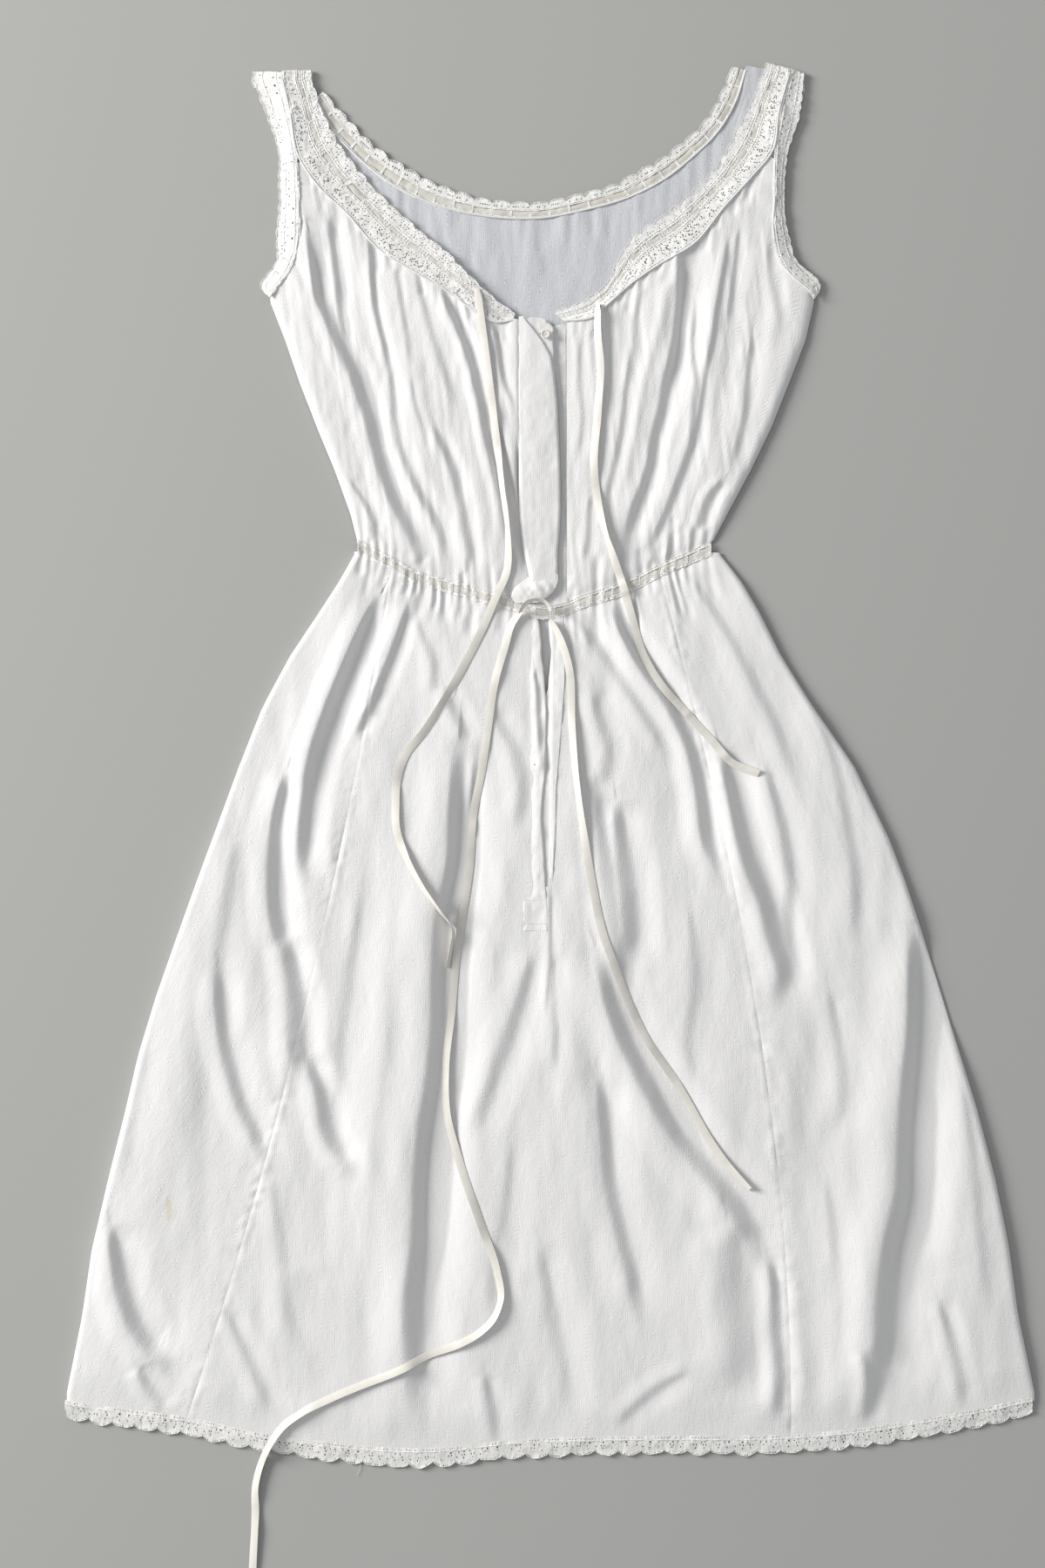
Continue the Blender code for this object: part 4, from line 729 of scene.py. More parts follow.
def creased(x, y, creases):
    # each crease is a soft trough with a low shoulder on each side
    lift = np.zeros_like(x)
    for depth, width, points in creases:
        near, aside, share = nearestOn(points, x, y, 3.2 * width)
        away = np.abs(aside) / (width * (0.75 + 0.5 * share))
        shape = np.exp(-(away**2)) - 0.35 * np.exp(-((away - 1.9) ** 2) * 1.6)
        lift[near] += depth * shape * smooth(share / 0.12 + 0.25) * smooth((1 - share) / 0.3 + 0.05)
    return lift


def gathersFrom(line, spots, direction, reach, depth, width, seed):
    # short creases that leave a seam at the given spots, uneven in length and depth
    chance = np.random.RandomState(seed)
    made = []
    for spot in spots:
        start = np.array((spot, float(line(spot))))
        long = reach * chance.uniform(0.3, 1.5)
        sideways = chance.uniform(-0.12, 0.12) + 0.25 * (spot + 10) / 140 * (1 if direction < 0 else 0.9)
        end = start + np.array((sideways * long, direction * long))
        middle = (start + end) / 2 + np.array((chance.uniform(-1.5, 1.5), 0))
        start = start - np.array((0, direction * 3.0))
        deep = -depth * chance.uniform(0.1, 1.5)
        wide = width * chance.uniform(0.7, 1.4)
        made.append((deep, wide, (start, middle, end)))
    return tuple(made)


skirtGathers = gathersFrom(
    waistLow, waistGathers, -1, gather["skirtReach"], gather["depth"], gather["width"], 5
)
bodiceGathers = gathersFrom(
    lambda x: waistLow(x) + 9.0, waistGathers, 1, gather["bodiceReach"], gather["depth"], gather["width"], 8
)


def rumpled(x, y, strength=1.0):
    # the soft unevenness of cloth that has been washed and laid out by hand
    lift = 0.95 * softNoise(x, y, 27, 90, 3) + 0.36 * softNoise(x, y, 12, 32, 4)
    return strength * (lift + 0.08 * softNoise(x, y, 5, 9, 6))


seam = {"line": -0.3, "ridge": 0.22, "reach": 7.5, "pucker": 0.55}


def seamed(x, y):
    # the puckered rise of cloth along the two seams of the skirt
    lift = np.zeros_like(x)
    for line, side in ((seamLeft, -1), (seamRight, 1)):
        away = (x - line(y)) * side
        pucker = softNoise(away * side, y, 9, 5.5, 61) + 0.5 * softNoise(away, y, 4, 3.2, 62)
        strong = 0.75 + 0.6 * softNoise(0 * y, y, 1, 34, 63 + side)
        lift += strong * seam["line"] * np.exp(-((away / 1.2) ** 2))
        lift += strong * seam["ridge"] * np.exp(-(((away + 3.0) / 2.0) ** 2))
        lift += strong * seam["pucker"] * pucker * np.exp(-((away / seam["reach"]) ** 2))
    return lift


def skirtHeight(x, y):
    lift = folded(x, y, skirtFolds) + creased(x, y, skirtGathers) + seamed(x, y)
    height = skirtForm.at(x, y) + lift + rumpled(x, y)
    height = mix(3.2 + 0.55 * lift, height, smooth((y - hemTop(x) + 4) / 34))
    height = height - 1.1 * np.exp(-(((y - waistLow(x)) / 6) ** 2))
    return np.maximum(height, 1.6)


def bodiceHeight(x, y):
    lift = folded(x, y, bodiceFolds, 0.38) + creased(x, y, bodiceGathers) + creased(x, y, neckGathers)
    crinkle = 0.26 * softNoise(x + 0.12 * y, y, 3.6, 42, 7) + 0.22 * softNoise(x - 0.2 * y, y, 6.5, 24, 9)
    height = bodiceForm.at(x, y) + lift + rumpled(x, y, 0.7) + crinkle
    height = height - 1.1 * np.exp(-(((y - waistLow(x) - 9) / 6) ** 2))
    return np.maximum(height, 1.8)


# The lace: each strip by its two edges from the shoulder on, as in the part's drawing
neckLaceLeft = (
    (-214, 549, -190, 549), (-208, 523, -184, 528), (-201, 487, -173, 506), (-186, 464, -159, 484),
    (-163, 442, -137, 459), (-137, 413, -111, 435), (-106, 393, -85, 413), (-79, 377, -65, 393),
    (-59, 362, -49, 378), (-42, 354, -36, 368), (-27, 356, -26, 361),
)
neckLaceRight = (
    (193, 554, 174, 559), (184, 521, 161, 530), (180, 493, 149, 505), (161, 469, 136, 482),
    (141, 447, 117, 461), (116, 417, 93, 442), (88, 400, 70, 425), (66, 385, 55, 404),
    (50, 371, 47, 386), (35, 358, 26, 371), (11, 355, 2, 362),
)
neckLaceBack = (
    (-187, 534, -181, 540), (-175, 511, -165, 522), (-147, 481, -137, 494), (-117, 460, -109, 476),
    (-82, 446, -77, 461), (-45, 439, -42, 452), (-8, 438, -7, 451), (30, 445, 26, 458),
    (67, 456, 59, 469), (92, 469, 83, 482), (115, 487, 105, 498), (136, 508, 125, 517),
    (150, 532, 137, 536), (158, 557, 147, 560),
)
armholeLeft = (
    (-215.4, 549, -238, 549), (-209.4, 523, -228, 523), (-203.4, 488, -217, 490), (-202, 468, -217, 468),
    (-201, 446, -217, 446), (-201, 430, -219, 424), (-203, 412, -219, 405), (-210, 394, -228, 391),
    (-219, 382, -231.5, 385), (-224, 374, -229, 378),
)
armholeRight = (
    (194.4, 554, 205, 550), (185.5, 521, 201, 522), (181.6, 492, 192, 490), (181, 470, 189, 467),
    (181, 454, 189, 448), (180, 427, 193, 424), (185, 405, 200, 402), (195, 391, 211, 393),
    (208, 380, 217, 385), (213, 373, 217.5, 378),
)


class Strip:
    # a band of lace between two edges; along is in millimetres on its middle line, across from 0 to 1
    foldRadius, underHeight = 2.4, 0.4

    def __init__(self, rows, height, turned=False, rise=0.0):
        rows = np.array(rows, float)
        sewn, sewnLength = curveThrough(rows[:, :2])
        free, freeLength = curveThrough(rows[:, 2:])
        share = np.linspace(0, 1, 500)
        marks = np.linspace(0, 1, len(rows))
        fineSewn, fineFree = sewn(np.linspace(0, sewnLength, 900)), free(np.linspace(0, freeLength, 900))
        nearest = lambda fine, points: [np.argmin(np.hypot(*(fine - p).T)) / 899 for p in points]
        self.sewn = sewn(np.interp(share, marks, nearest(fineSewn, rows[:, :2])) * sewnLength)
        self.free = free(np.interp(share, marks, nearest(fineFree, rows[:, 2:])) * freeLength)
        middle = (self.sewn + self.free) / 2
        self.run = np.append(0.0, np.cumsum(np.linalg.norm(np.diff(middle, axis=0), axis=1)))
        self.length = self.run[-1]
        self.height = height
        self.turned = turned
        self.rise = rise

    def place(self, along, across, lift=0.0):
        along, across = np.broadcast_arrays(np.asarray(along, float), np.asarray(across, float))
        over = np.minimum(along, 0.0) if self.turned else 0 * along
        inside = np.clip(along, 0, self.length)
        sewn = np.stack([np.interp(inside, self.run, self.sewn[:, k]) for k in (0, 1)], axis=-1)
        free = np.stack([np.interp(inside, self.run, self.free[:, k]) for k in (0, 1)], axis=-1)
        flat = mix(sewn, free, across[..., None])
        z = self.height(flat[..., 0], flat[..., 1], across) + lift
        # worn lace is out of true: each thread a little, and its free edge more than its sewn one
        for k, reach in ((0, 19), (1, 23)):
            small = 0.3 * softNoise(along, across * 20, 2.6, 2.6, 81 + k)
            flat[..., k] += small + 0.6 * across * softNoise(along, 0 * along, reach, 1, 83 + k)
        if self.turned:
            up = np.minimum(-over, self.rise)
            over = over + up
            angle = np.clip(-over / self.foldRadius, 0, math.pi)
            beyond = np.maximum(-over - math.pi * self.foldRadius, 0)
            flat[..., 1] += up + self.foldRadius * np.sin(angle) - beyond
            z = mix(self.underHeight, z, 0.5 + 0.5 * np.cos(angle))
        return np.concatenate([flat, z[..., None]], axis=-1)


def arc(x, y, radiusX, radiusY, start, stop, count):
    angle = np.radians(np.linspace(start, stop, count))
    return np.stack([x + radiusX * np.cos(angle), y + radiusY * np.sin(angle)], axis=1)


# Lace is worked from tiles, each row a little further from its sewn edge: a dot is an opening
pinholes = ("######", "#.##.#", "######")
slots = ("########", "##..####", "########", "########", "######.#", "########", "####.###")
netTile = (
    "########################",
    "#.##.##.##.##.##.##.##.#",
    "########################",
    "########..####.#####.###",
    "#####.######..####.##.##",
    "###..###..####..#####.##",
    "##.####.##.####.##.#####",
    "###..###..####..####.###",
    "#####.######..#####.##.#",
    "########..####.####.####",
    "########################",
    "#.##.##.##.##.##.##.##.#",
    "########################",
)
knots = ("##.#.###", "########", "#.###.##", "########", "###.##.#", "########")
wideBars = (
    "####################",
    "##.#.##.#.##........",
    "#.##.#.##.#.........",
    "##.#.##.#.##........",
    "#.##.#.##.#.........",
    "####################",
)
openBars = ("#.###" + "." * 15,) * 6
thinBars = ("##...............",) * 5
waistBars = ("#####.......", "#.#.#.......") * 3 + ("#####.......",)
fanTile = (
    "################",
    "##.##.##.##.##.#",
    "################",
    "####.##.##.#.###",
    "################",
    "##.#.#.##.#.#.##",
    "################",
    "#.#.#.#.#.#.#.#.",
)
backFanTile = (
    "################",
    "##.#.#.#.#.#.#.#",
    "################",
    "################",
    "#.#.#.#.#.#.#.#.",
)
hemTile = (
    "########################",
    "###.####..####.###..####",
    "########################",
    "######.##.######.##.####",
    "########################",
    "#.######.########.######",
    "########################",
    "########################",
    "########################",
    "#.#.#.#.#.#.#.#.#.#.#.#.",
)
toothTile = ("############", "#.####.##.##", "############", "############", "#.#.#.#.#.#.")

# Each lace by its zones: from and to, in millimetres from the sewn edge; the length of a tile; the
# tile; and for scallops how far out the notches between them reach
neckZones = (
    (0.0, 2.0, 4.4, pinholes, None),
    (2.0, 14.4, 20.4, netTile, None),
    (14.4, 16.0, 4.4, pinholes, None),
    (16.0, 22.0, 19.6, wideBars, None),
    (22.0, 24.0, 4.4, pinholes, None),
    (24.0, 33.0, 14.6, fanTile, 0.76),
)
neckEndZones = neckZones[:3] + ((16.0, 22.0, 6.4, knots, None),) + neckZones[4:]
neckOpenZones = neckZones[:3] + ((16.0, 22.0, 22.0, openBars, None),) + neckZones[4:]
backNeckZones = (
    (-1.0, 1.4, 4.2, pinholes, None),
    (1.4, 7.0, 15.4, thinBars, None),
    (7.0, 8.2, 6.0, ("######", "######"), None),
    (8.2, 14.5, 15.4, backFanTile, 0.56),
)
armholeZones = (
    (-1.2, 2.2, 4.4, pinholes, None),
    (2.2, 9.0, 6.2, slots, None),
    (9.0, 14.0, 8.6, toothTile, 0.78),
)
hemZones = ((-2.0, 1.4, 4.6, pinholes, None), (1.4, 14.0, 18.6, hemTile, 0.68))
waistZones = (
    (-1.0, 1.2, 4.2, pinholes, None),
    (1.2, 7.6, 10.2, waistBars, None),
    (7.6, 9.8, 4.2, pinholes, None),
)
# How far the lace runs on under the turned strap end, how high it lies, and the size of its threads
lace = {
    "under": 22.0,
    "rise": 0.5,
    "relief": 0.24,
    "rib": 0.14,
    "ribPitch": 1.7,
    "rim": 0.34,
    "picot": 0.22,
}
laceWidths = {"neck": 33.0, "neckBack": 14.5, "armhole": 14.0, "hem": 14.0, "waist": 8.8}


def laceZone(strip, width, start, stop, zone, lift, seed, shut):
    # a sheet in strip coordinates without the tile's openings, and the thread along its outer edge
    low, high, pitch, tile, notch = zone
    columns, rows = len(tile[0]), len(tile)
    repeats = max(1, int(round((stop - start) / pitch)))
    column = np.arange(repeats * columns + 1)
    along = np.linspace(start, stop, repeats * columns + 1)[None]
    share = np.linspace(0, 1, rows + 1)[:, None]
    top = high + 0 * along
    if notch is not None:
        turn = math.pi * ((column % columns) / columns)[None]
        uneven = 1 + 0.09 * softNoise(along, 0 * along, 9, 1, seed)
        top = low + (high - low) * (notch + (1 - notch) * np.sin(turn) ** 0.6) * uneven
        top = top + lace["picot"] * (column % 2 * 2 - 1)
    across = low + share * (top - low)
    along = along + 0 * across
    relief = lace["relief"] * softNoise(along, across, 1.3, 1.3, seed + 1)
    relief = relief + 0.35 * softNoise(along, across, 7, 7, seed + 4)
    if notch is not None:
        ribs = np.cos(2 * math.pi * along / lace["ribPitch"])
        relief = relief + lace["rib"] * ribs * smooth(share * 2.5 - 0.6)
    alongShaken = along + 0.16 * softNoise(along, across, 1.1, 1.1, seed + 2)
    acrossShaken = across + 0.16 * softNoise(along, across, 1.1, 1.1, seed + 3)
    places = strip.place(alongShaken, acrossShaken / width, lift + relief)
    keep = np.tile(np.array([[mark == "#" for mark in row] for row in tile]), (1, repeats))
    if "...." not in tile[len(tile) // 2]:
        # in worn lace some openings have drawn shut, though not the long slots of a beading
        middle = [(line[1:, 1:] + line[:-1, :-1]) / 2 for line in (along, across)]
        keep = keep | (softNoise(*middle, 1.7, 1.7, seed + 5) > shut)
    return places.reshape(-1, 3), gridFaces(rows + 1, repeats * columns + 1, keep), places[-1]


def lacePiece(name, strip, width, parts, seed, lift=None, shut=0.14):
    # parts are (start, stop, zones) along the strip
    points, faces, rims, first = [], [], [], 0
    lift = lace["rise"] if lift is None else lift
    for start, stop, zones in parts:
        for zone in zones:
            places, quads, rim = laceZone(strip, width, start, stop, zone, lift, seed, shut)
            points.append(places)
            faces.append(quads + first)
            first += len(places)
            rims.append(rim + np.array((0, 0, 0.1)))
    tubePoints, tubeFaces = tubes(rims, lace["rim"])
    points.append(tubePoints)
    faces.append(tubeFaces + first)
    return makePiece(name, np.concatenate(points), np.concatenate(faces), laceThread, "lace")


def frontLaceHeight(x, y, across):
    stands = 2.4 * np.exp(-(((x + 64) / 22) ** 2) - ((y - 388) / 24) ** 2) * smooth(across * 1.4)
    sewn = np.maximum(bodiceForm.at(x, y) + 0.4, 3.9)
    return mix(sewn, 3.7, smooth(across * 1.6)) + rumpled(x, y, 0.5) + stands


def backLaceHeight(x, y, across):
    return 1.2 + 0.4 * across + 0.3 * softNoise(x, y, 14, 14, 11)


def armholeHeight(x, y, across):
    sewn = np.maximum(bodiceForm.at(x, y) + 0.3, 4.2)
    free = np.where(x > 0, 2.9, 1.6)
    return mix(sewn, free, smooth(across)) + 0.5 * softNoise(x, y, 11, 11, 12)


def hemLaceHeight(x, y, across):
    # it hangs on from the cloth and comes down to the floor
    sewn = np.maximum(skirtHeight(x, hemTop(x)), 2.0)
    return mix(sewn, 1.3, smooth(across)) + 0.5 * softNoise(x, y, 15, 9, 14)


def flatHeight(x, y, across):
    return 0.6 + 0 * across


def ribbonStrip(name, strip, width, low, high, start, stop, seed, under):
    # the ribbon in a beading, a little swelled across its width and uneven along it
    steps = int((stop - start) / 1.3)
    along = np.linspace(start, stop, steps)[:, None]
    across = np.linspace(low, high, 7)[None] / width
    swell = 0.35 * np.sin(math.pi * (across * width - low) / (high - low))
    wave = 0.3 * softNoise(along, across * width, 4.0, 3.0, seed)
    places = strip.place(along, across + 0 * along, under + swell + wave)
    u = (across * width + 0 * along) * mm
    v = (along + 0 * across) * mm
    cut = np.stack([u, v], axis=-1).reshape(-1, 2)
    # its darker satin paints the lace's shade on the ribbon
    return makePiece(name, places.reshape(-1, 3), gridFaces(*places.shape[:2]), shadedThreadedSatin, "ribbon", cut)


def makeNeckLaces():
    width = laceWidths["neck"]
    for side, rows, rise in (("left", neckLaceLeft, 5.0), ("right", neckLaceRight, 1.5)):
        strip = Strip(rows, frontLaceHeight, turned=True, rise=rise)
        threaded = strip.length * 0.86
        parts = [(-lace["under"], threaded, neckZones), (threaded, strip.length - 1.5, neckEndZones)]
        if side == "left":
            # one slot of this beading is seen wide open
            parts[:1] = [
                (-lace["under"], 91, neckZones), (91, 113, neckOpenZones), (113, threaded, neckZones),
            ]
        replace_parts(lacePiece("neck_net_" + side, strip, width, parts, 103), "neck_lace_" + side)
        ribbon = ribbonStrip("neck_ribbon_" + side, strip, width, 16.6, 21.4, -18.0, threaded, 21, 0.0)
        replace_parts(ribbon, "ribbon_neck_" + side)
    strip = Strip(neckLaceBack, backLaceHeight)
    width = laceWidths["neckBack"]
    piece = lacePiece("neck_net_back", strip, width, ((0, strip.length, backNeckZones),), 104)
    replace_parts(piece, "neck_lace_back")
    ribbon = ribbonStrip("neck_ribbon_back", strip, width, 1.6, 6.8, 0.0, strip.length, 23, 0.0)
    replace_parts(ribbon, "ribbon_neck_back")


def makeArmholeLaces():
    width = laceWidths["armhole"]
    for side, rows in (("left", armholeLeft), ("right", armholeRight)):
        front = Strip(rows, armholeHeight, turned=True, rise=4.0 if side == "left" else 1.5)
        parts = ((-lace["under"], front.length, armholeZones),)
        shut = -0.1 if side == "left" else 0.5
        piece = lacePiece("armhole_net_front_" + side, front, width, parts, 105, shut=shut)
        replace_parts(piece, "armhole_lace_front_" + side)
        back = Strip(rows, flatHeight)
        parts = ((12.0, back.length, armholeZones),)
        piece = lacePiece("armhole_net_back_" + side, back, width, parts, 106, 0.2)
        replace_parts(piece, "armhole_lace_back_" + side)


def makeHemLace():
    depth = laceWidths["hem"]
    x = np.linspace(-388.5, 388.0, 60)
    rows = np.stack([x, hemTop(x) - 0.2, x, hemTop(x) - depth], axis=1)
    for side, height, lift in (("front", hemLaceHeight, 0.45), ("back", flatHeight, 0.1)):
        strip = Strip(rows, height)
        piece = lacePiece("hem_net_" + side, strip, depth, ((0, strip.length, hemZones),), 107, lift)
        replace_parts(piece, "hem_lace_" + side)


def waistHeight(x, y, across):
    # the beading lies in the gathers of the cloth on both sides of it
    low, high = skirtHeight(x, waistLow(x)), bodiceHeight(x, waistLow(x) + 9)
    return np.maximum(mix(low, high, np.clip(across, 0, 1)), 2.6) + 0.35


def makeWaist():
    width = laceWidths["waist"]
    for side, first, last in (("left", -153.5, -4.6), ("right", 130.5, -5.4)):
        x = np.linspace(first, last, 40)
        rows = np.stack([x, waistLow(x), x, waistLow(x) + width], axis=1)
        strip = Strip(rows, waistHeight)
        piece = lacePiece("waist_net_" + side, strip, width, ((0, strip.length, waistZones),), 108, 0.3)
        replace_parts(piece, "waist_beading_" + side)
        ribbon = ribbonStrip("waist_ribbon_" + side, strip, width, 1.2, 7.6, 1.0, strip.length, 25, -0.2)
        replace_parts(ribbon, "ribbon_waist_" + side)
    x = np.linspace(-153.5, 130.5, 60)
    rows = np.stack([x, waistLow(x), x, waistLow(x) + width], axis=1)
    strip = Strip(rows, flatHeight)
    piece = lacePiece("waist_net_back", strip, width, ((0, strip.length, waistZones),), 109, 0.1)
    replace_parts(piece, "waist_beading_back")


# Cloth panels
def panelGrid(left, right, top, bottom, columns, rows):
    u = np.linspace(0, 1, columns)[None]
    v = np.linspace(0, 1, rows)[:, None]
    y = mix(130.0, -520.0, v) + 0 * u
    for _ in range(12):
        x = mix(left(y), right(y), u)
        y = mix(top(x), bottom(x), v)
    return x, y


def waistSeam(x):
    return waistLow(x) + 1.6


def hemSeam(x):
    return hemTop(x) - 1.0


# The slit opens above low, up to the line where the under strip is sewn on
slit = {"low": -98.0, "levels": (-109, -60, -19, 30, 117), "sewnTo": (0, 2, 3, 6, 7)}


def makeSkirtFront():
    x, y = panelGrid(seamLeft, seamRight, waistSeam, hemSeam, 240, 300)
    z = skirtHeight(x, y)
    bandRight = edgeLine("skirt_band_over", 1, -134, 117, 1)
    midX, midY = (x[1:, 1:] + x[:-1, :-1]) / 2, (y[1:, 1:] + y[:-1, :-1]) / 2
    sewnTo = np.interp(midY, slit["levels"], slit["sewnTo"])
    isOpen = (midX > bandRight(midY) - 3) & (midX < sewnTo) & (midY > slit["low"])
    piece = clothPiece("skirt_cloth_front", x, y, z, x, y, frontCotton, ~isOpen)
    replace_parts(piece, "skirt_front")


sideFold = {"radius": 5.0, "under": 0.3}


def makeSkirtSide(side, seam, edge, outward):
    # the panel runs on round the folded side to the back, to the same seam
    radius, under = sideFold["radius"], sideFold["under"]
    rim = lambda y: edge(y) - outward * radius
    x, y = panelGrid(seam, rim, waistSeam, hemSeam, 88, 300)
    z = skirtHeight(x, y)
    angle = np.linspace(0, math.pi, 9)[None, 1:]
    turnX = x[:, -1:] + outward * radius * np.sin(angle)
    turnY = y[:, -1:] + 0 * angle
    turnZ = mix(under, z[:, -1:], 0.5 + 0.5 * np.cos(angle))
    back = x[:, -2::-6]
    backX = np.concatenate([back, x[:, :1]], axis=1)
    backY = np.concatenate([y[:, -2::-6], y[:, :1]], axis=1)
    backZ = under + 0 * backX
    allX = np.concatenate([x, turnX, backX], axis=1)
    allY = np.concatenate([y, turnY, backY], axis=1)
    allZ = np.concatenate([z, turnZ, backZ], axis=1)
    step = np.hypot(np.diff(allX, axis=1), np.diff(allZ, axis=1))
    across = np.concatenate([np.zeros((len(x), 1)), np.cumsum(step, axis=1)], axis=1)
    lean = (seam(allY) - seam(-500.0)) * 0.5
    piece = clothPiece("skirt_cloth_" + side, allX, allY, allZ, outward * across - lean, allY, sideCotton)
    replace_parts(piece, "skirt_side_" + side)


def makeSkirtBack():
    x, y = panelGrid(seamLeft, seamRight, waistLow, hemSeam, 60, 80)
    z = 0.3 + 0 * x
    piece = clothPiece("skirt_cloth_back", x, y, z, x, y, frontCotton)
    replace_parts(piece, "skirt_back")


def sewnLine(rows, first, last, count, under=0.0):
    # the seam between cloth and lace, or a line a little way under the lace
    strip = Strip(rows, flatHeight)
    share = np.linspace(first, last, count) / (len(rows) - 1)
    line = mix(strip.sewn, strip.free, under)
    at = np.linspace(0, 1, len(line))
    return np.stack([np.interp(share, at, line[:, k]) for k in (0, 1)], axis=1)


def bandLeft(y):
    # where the band over leaves the left front: it goes into the deep fold beside it
    return np.interp(y, (150, 158, 175, 196, 221, 290, 340), (-15.2, -16.6, -20.6, -23, -24.3, -25, -25.4))


def makeBodiceFront(side, laceRows, armholeRows, placketX, edge):
    climb = sewnLine(armholeRows, len(armholeRows) - 1, 2.2, 46, 0.14)
    fall = sewnLine(laceRows, 2.2, len(laceRows) - 1, 800, 0.07)
    fall = fall[(placketX - fall[:, 0]) * (1 if side == "left" else -1) > 1.0]
    fall = fall[np.linspace(0, len(fall) - 1, 110).astype(int)]
    top = np.vstack([climb[:-1], fall, [(placketX, fall[-1, 1] - 0.5)]])
    share = np.append(np.linspace(0, 0.16, len(climb))[:-1], np.linspace(0.16, 1, len(top) - len(climb) + 1))
    cornerX = float(edge(178.0))
    waistX = mix(cornerX, placketX, share)
    waistY = waistLow(waistX) + 7.4
    top[0, 0] = float(edge(top[0, 1]))
    # rows level with each other, which end where a column meets the armhole or the lace
    v = np.linspace(0, 1, 220)[:, None]
    y = np.minimum(mix(top[:, 1].max(), waistY[None], v), top[:, 1][None])
    x = mix(waistX[None], top[:, 0][None], (y - waistY) / (top[:, 1] - waistY))
    falls = y[1:] < y[:-1]
    keep = falls[:, 1:] | falls[:, :-1]
    x = x + (edge(y[:, :1]) - x[:, :1]) * (1 - share[None]) ** 3
    if side == "left":
        x = x + (np.maximum(bandLeft(y) + 1.5, placketX) - placketX) * smooth(share[None] * 4 - 3)
    z = bodiceHeight(x, y)
    if side == "left":
        # beside the band the cloth goes down into a deep fold, and further up it lies level with it
        dip = mix(2.6, np.minimum(z, 6.4), smooth((y - 236) / 40))
        z = mix(z, np.minimum(z, dip), smooth((x - bandLeft(y) + 2.6) / 2.4))
        z = mix(z, 6.3, smooth((x - bandLeft(y) + 13) / 13) * smooth((y - 236) / 50))
        z = mix(z, 5.6, smooth((x - bandLeft(y) + 0.9) / 2.4) * smooth((y - 236) / 50))
    # the side edge rolls under to the back
    fromSide = np.where(y < top[0, 1] + 4, np.abs(x - edge(y)), 9.0)
    roll = np.sqrt(1 - (1 - np.clip(fromSide / 9.0, 0, 1)) ** 2)
    z = mix(1.2, z, roll)
    piece = clothPiece("bodice_cloth_" + side, x, y, z, share[None] * 300 + 0 * y, y, frontCotton, keep)
    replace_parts(piece, "bodice_front_" + side)


def makeBodiceBack():
    # a grid between the two armholes, whose top row follows the back neck and the straps
    sewnBack = Strip(neckLaceBack, flatHeight).sewn
    neckY = lambda x: np.interp(x, sewnBack[:, 0], sewnBack[:, 1])
    left = sewnLine(armholeLeft, len(armholeLeft) - 1, 0.4, 60)
    right = sewnLine(armholeRight, len(armholeRight) - 1, 0.4, 60)
    leftEdge = lambda y: np.where(y < 372, bodiceLeft(y), np.interp(y, left[:, 1], left[:, 0]))
    rightEdge = lambda y: np.where(y < 372, bodiceRight(y), np.interp(y, right[:, 1], right[:, 0]))
    u = np.linspace(0, 1, 150)[None]
    v = np.linspace(0, 1, 160)[:, None]
    y = mix(545.0, 170.0, v) + 0 * u
    for _ in range(14):
        x = mix(leftEdge(y), rightEdge(y), u)
        strap = 560.5 - 0.16 * (x - 157) + 0.7 * softNoise(x, 0 * x, 4, 1, 37)
        top = np.where(x < -187, 541.0, np.where(x > 157, strap, neckY(x)))
        y = mix(top, waistLow(x) + 9.0, v)
    nearNeck = np.exp(-(((neckY(x) - y) / 45) ** 2))
    z = 0.4 + 0.5 * (1 + softNoise(x, y, 16, 45, 31)) + 0.25 * (1 + softNoise(x, y, 7, 16, 32))
    z = z + nearNeck * (0.45 * (1 + softNoise(x, y, 4.5, 40, 33)) + 0.3 * softNoise(x, y, 2.8, 25, 34))
    piece = clothPiece("bodice_cloth_back", x, y, z, x, y, shadedBackCotton)
    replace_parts(piece, "bodice_back")


def bandPiece(
    name, left, right, low, high, height, rows, columns, node, wave=0.35, rims=(0.9, 0.9), hole=None
):
    # a doubled strip of cloth sewn on a panel, with turned edges that stand up by rims on its two sides
    u = np.linspace(0, 1, columns)[None]
    top = high(u) if callable(high) else high + 0 * u
    y = mix(top, low, np.linspace(0, 1, rows)[:, None])
    x = mix(left(y), right(y), u)
    z = height(x, y) + wave * softNoise(x, y, 9, 14, 41) + 0.4 * wave * softNoise(x, y, 3.5, 5, 42)
    for rim, fromEdge in zip(rims, (u, 1 - u)):
        z = z - 0.7 * rim * (1 - np.clip(fromEdge / 0.06, 0, 1)) ** 2
    x = np.concatenate([x[:, :1], x, x[:, -1:]], axis=1)
    y = np.concatenate([y[:, :1], y, y[:, -1:]], axis=1)
    z = np.concatenate([z[:, :1] - rims[0], z, z[:, -1:] - rims[1]], axis=1)
    keep = None
    if hole is not None:
        midX, midY = (x[1:, 1:] + x[:-1, :-1]) / 2, (y[1:, 1:] + y[:-1, :-1]) / 2
        away = np.hypot(midX - hole[0], midY - hole[1])
        keep = away > away.min() + 1e-6
    piece = clothPiece(name, x, y, z, x * 0.8 + 300, y, bandCotton, keep)
    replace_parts(piece, node)


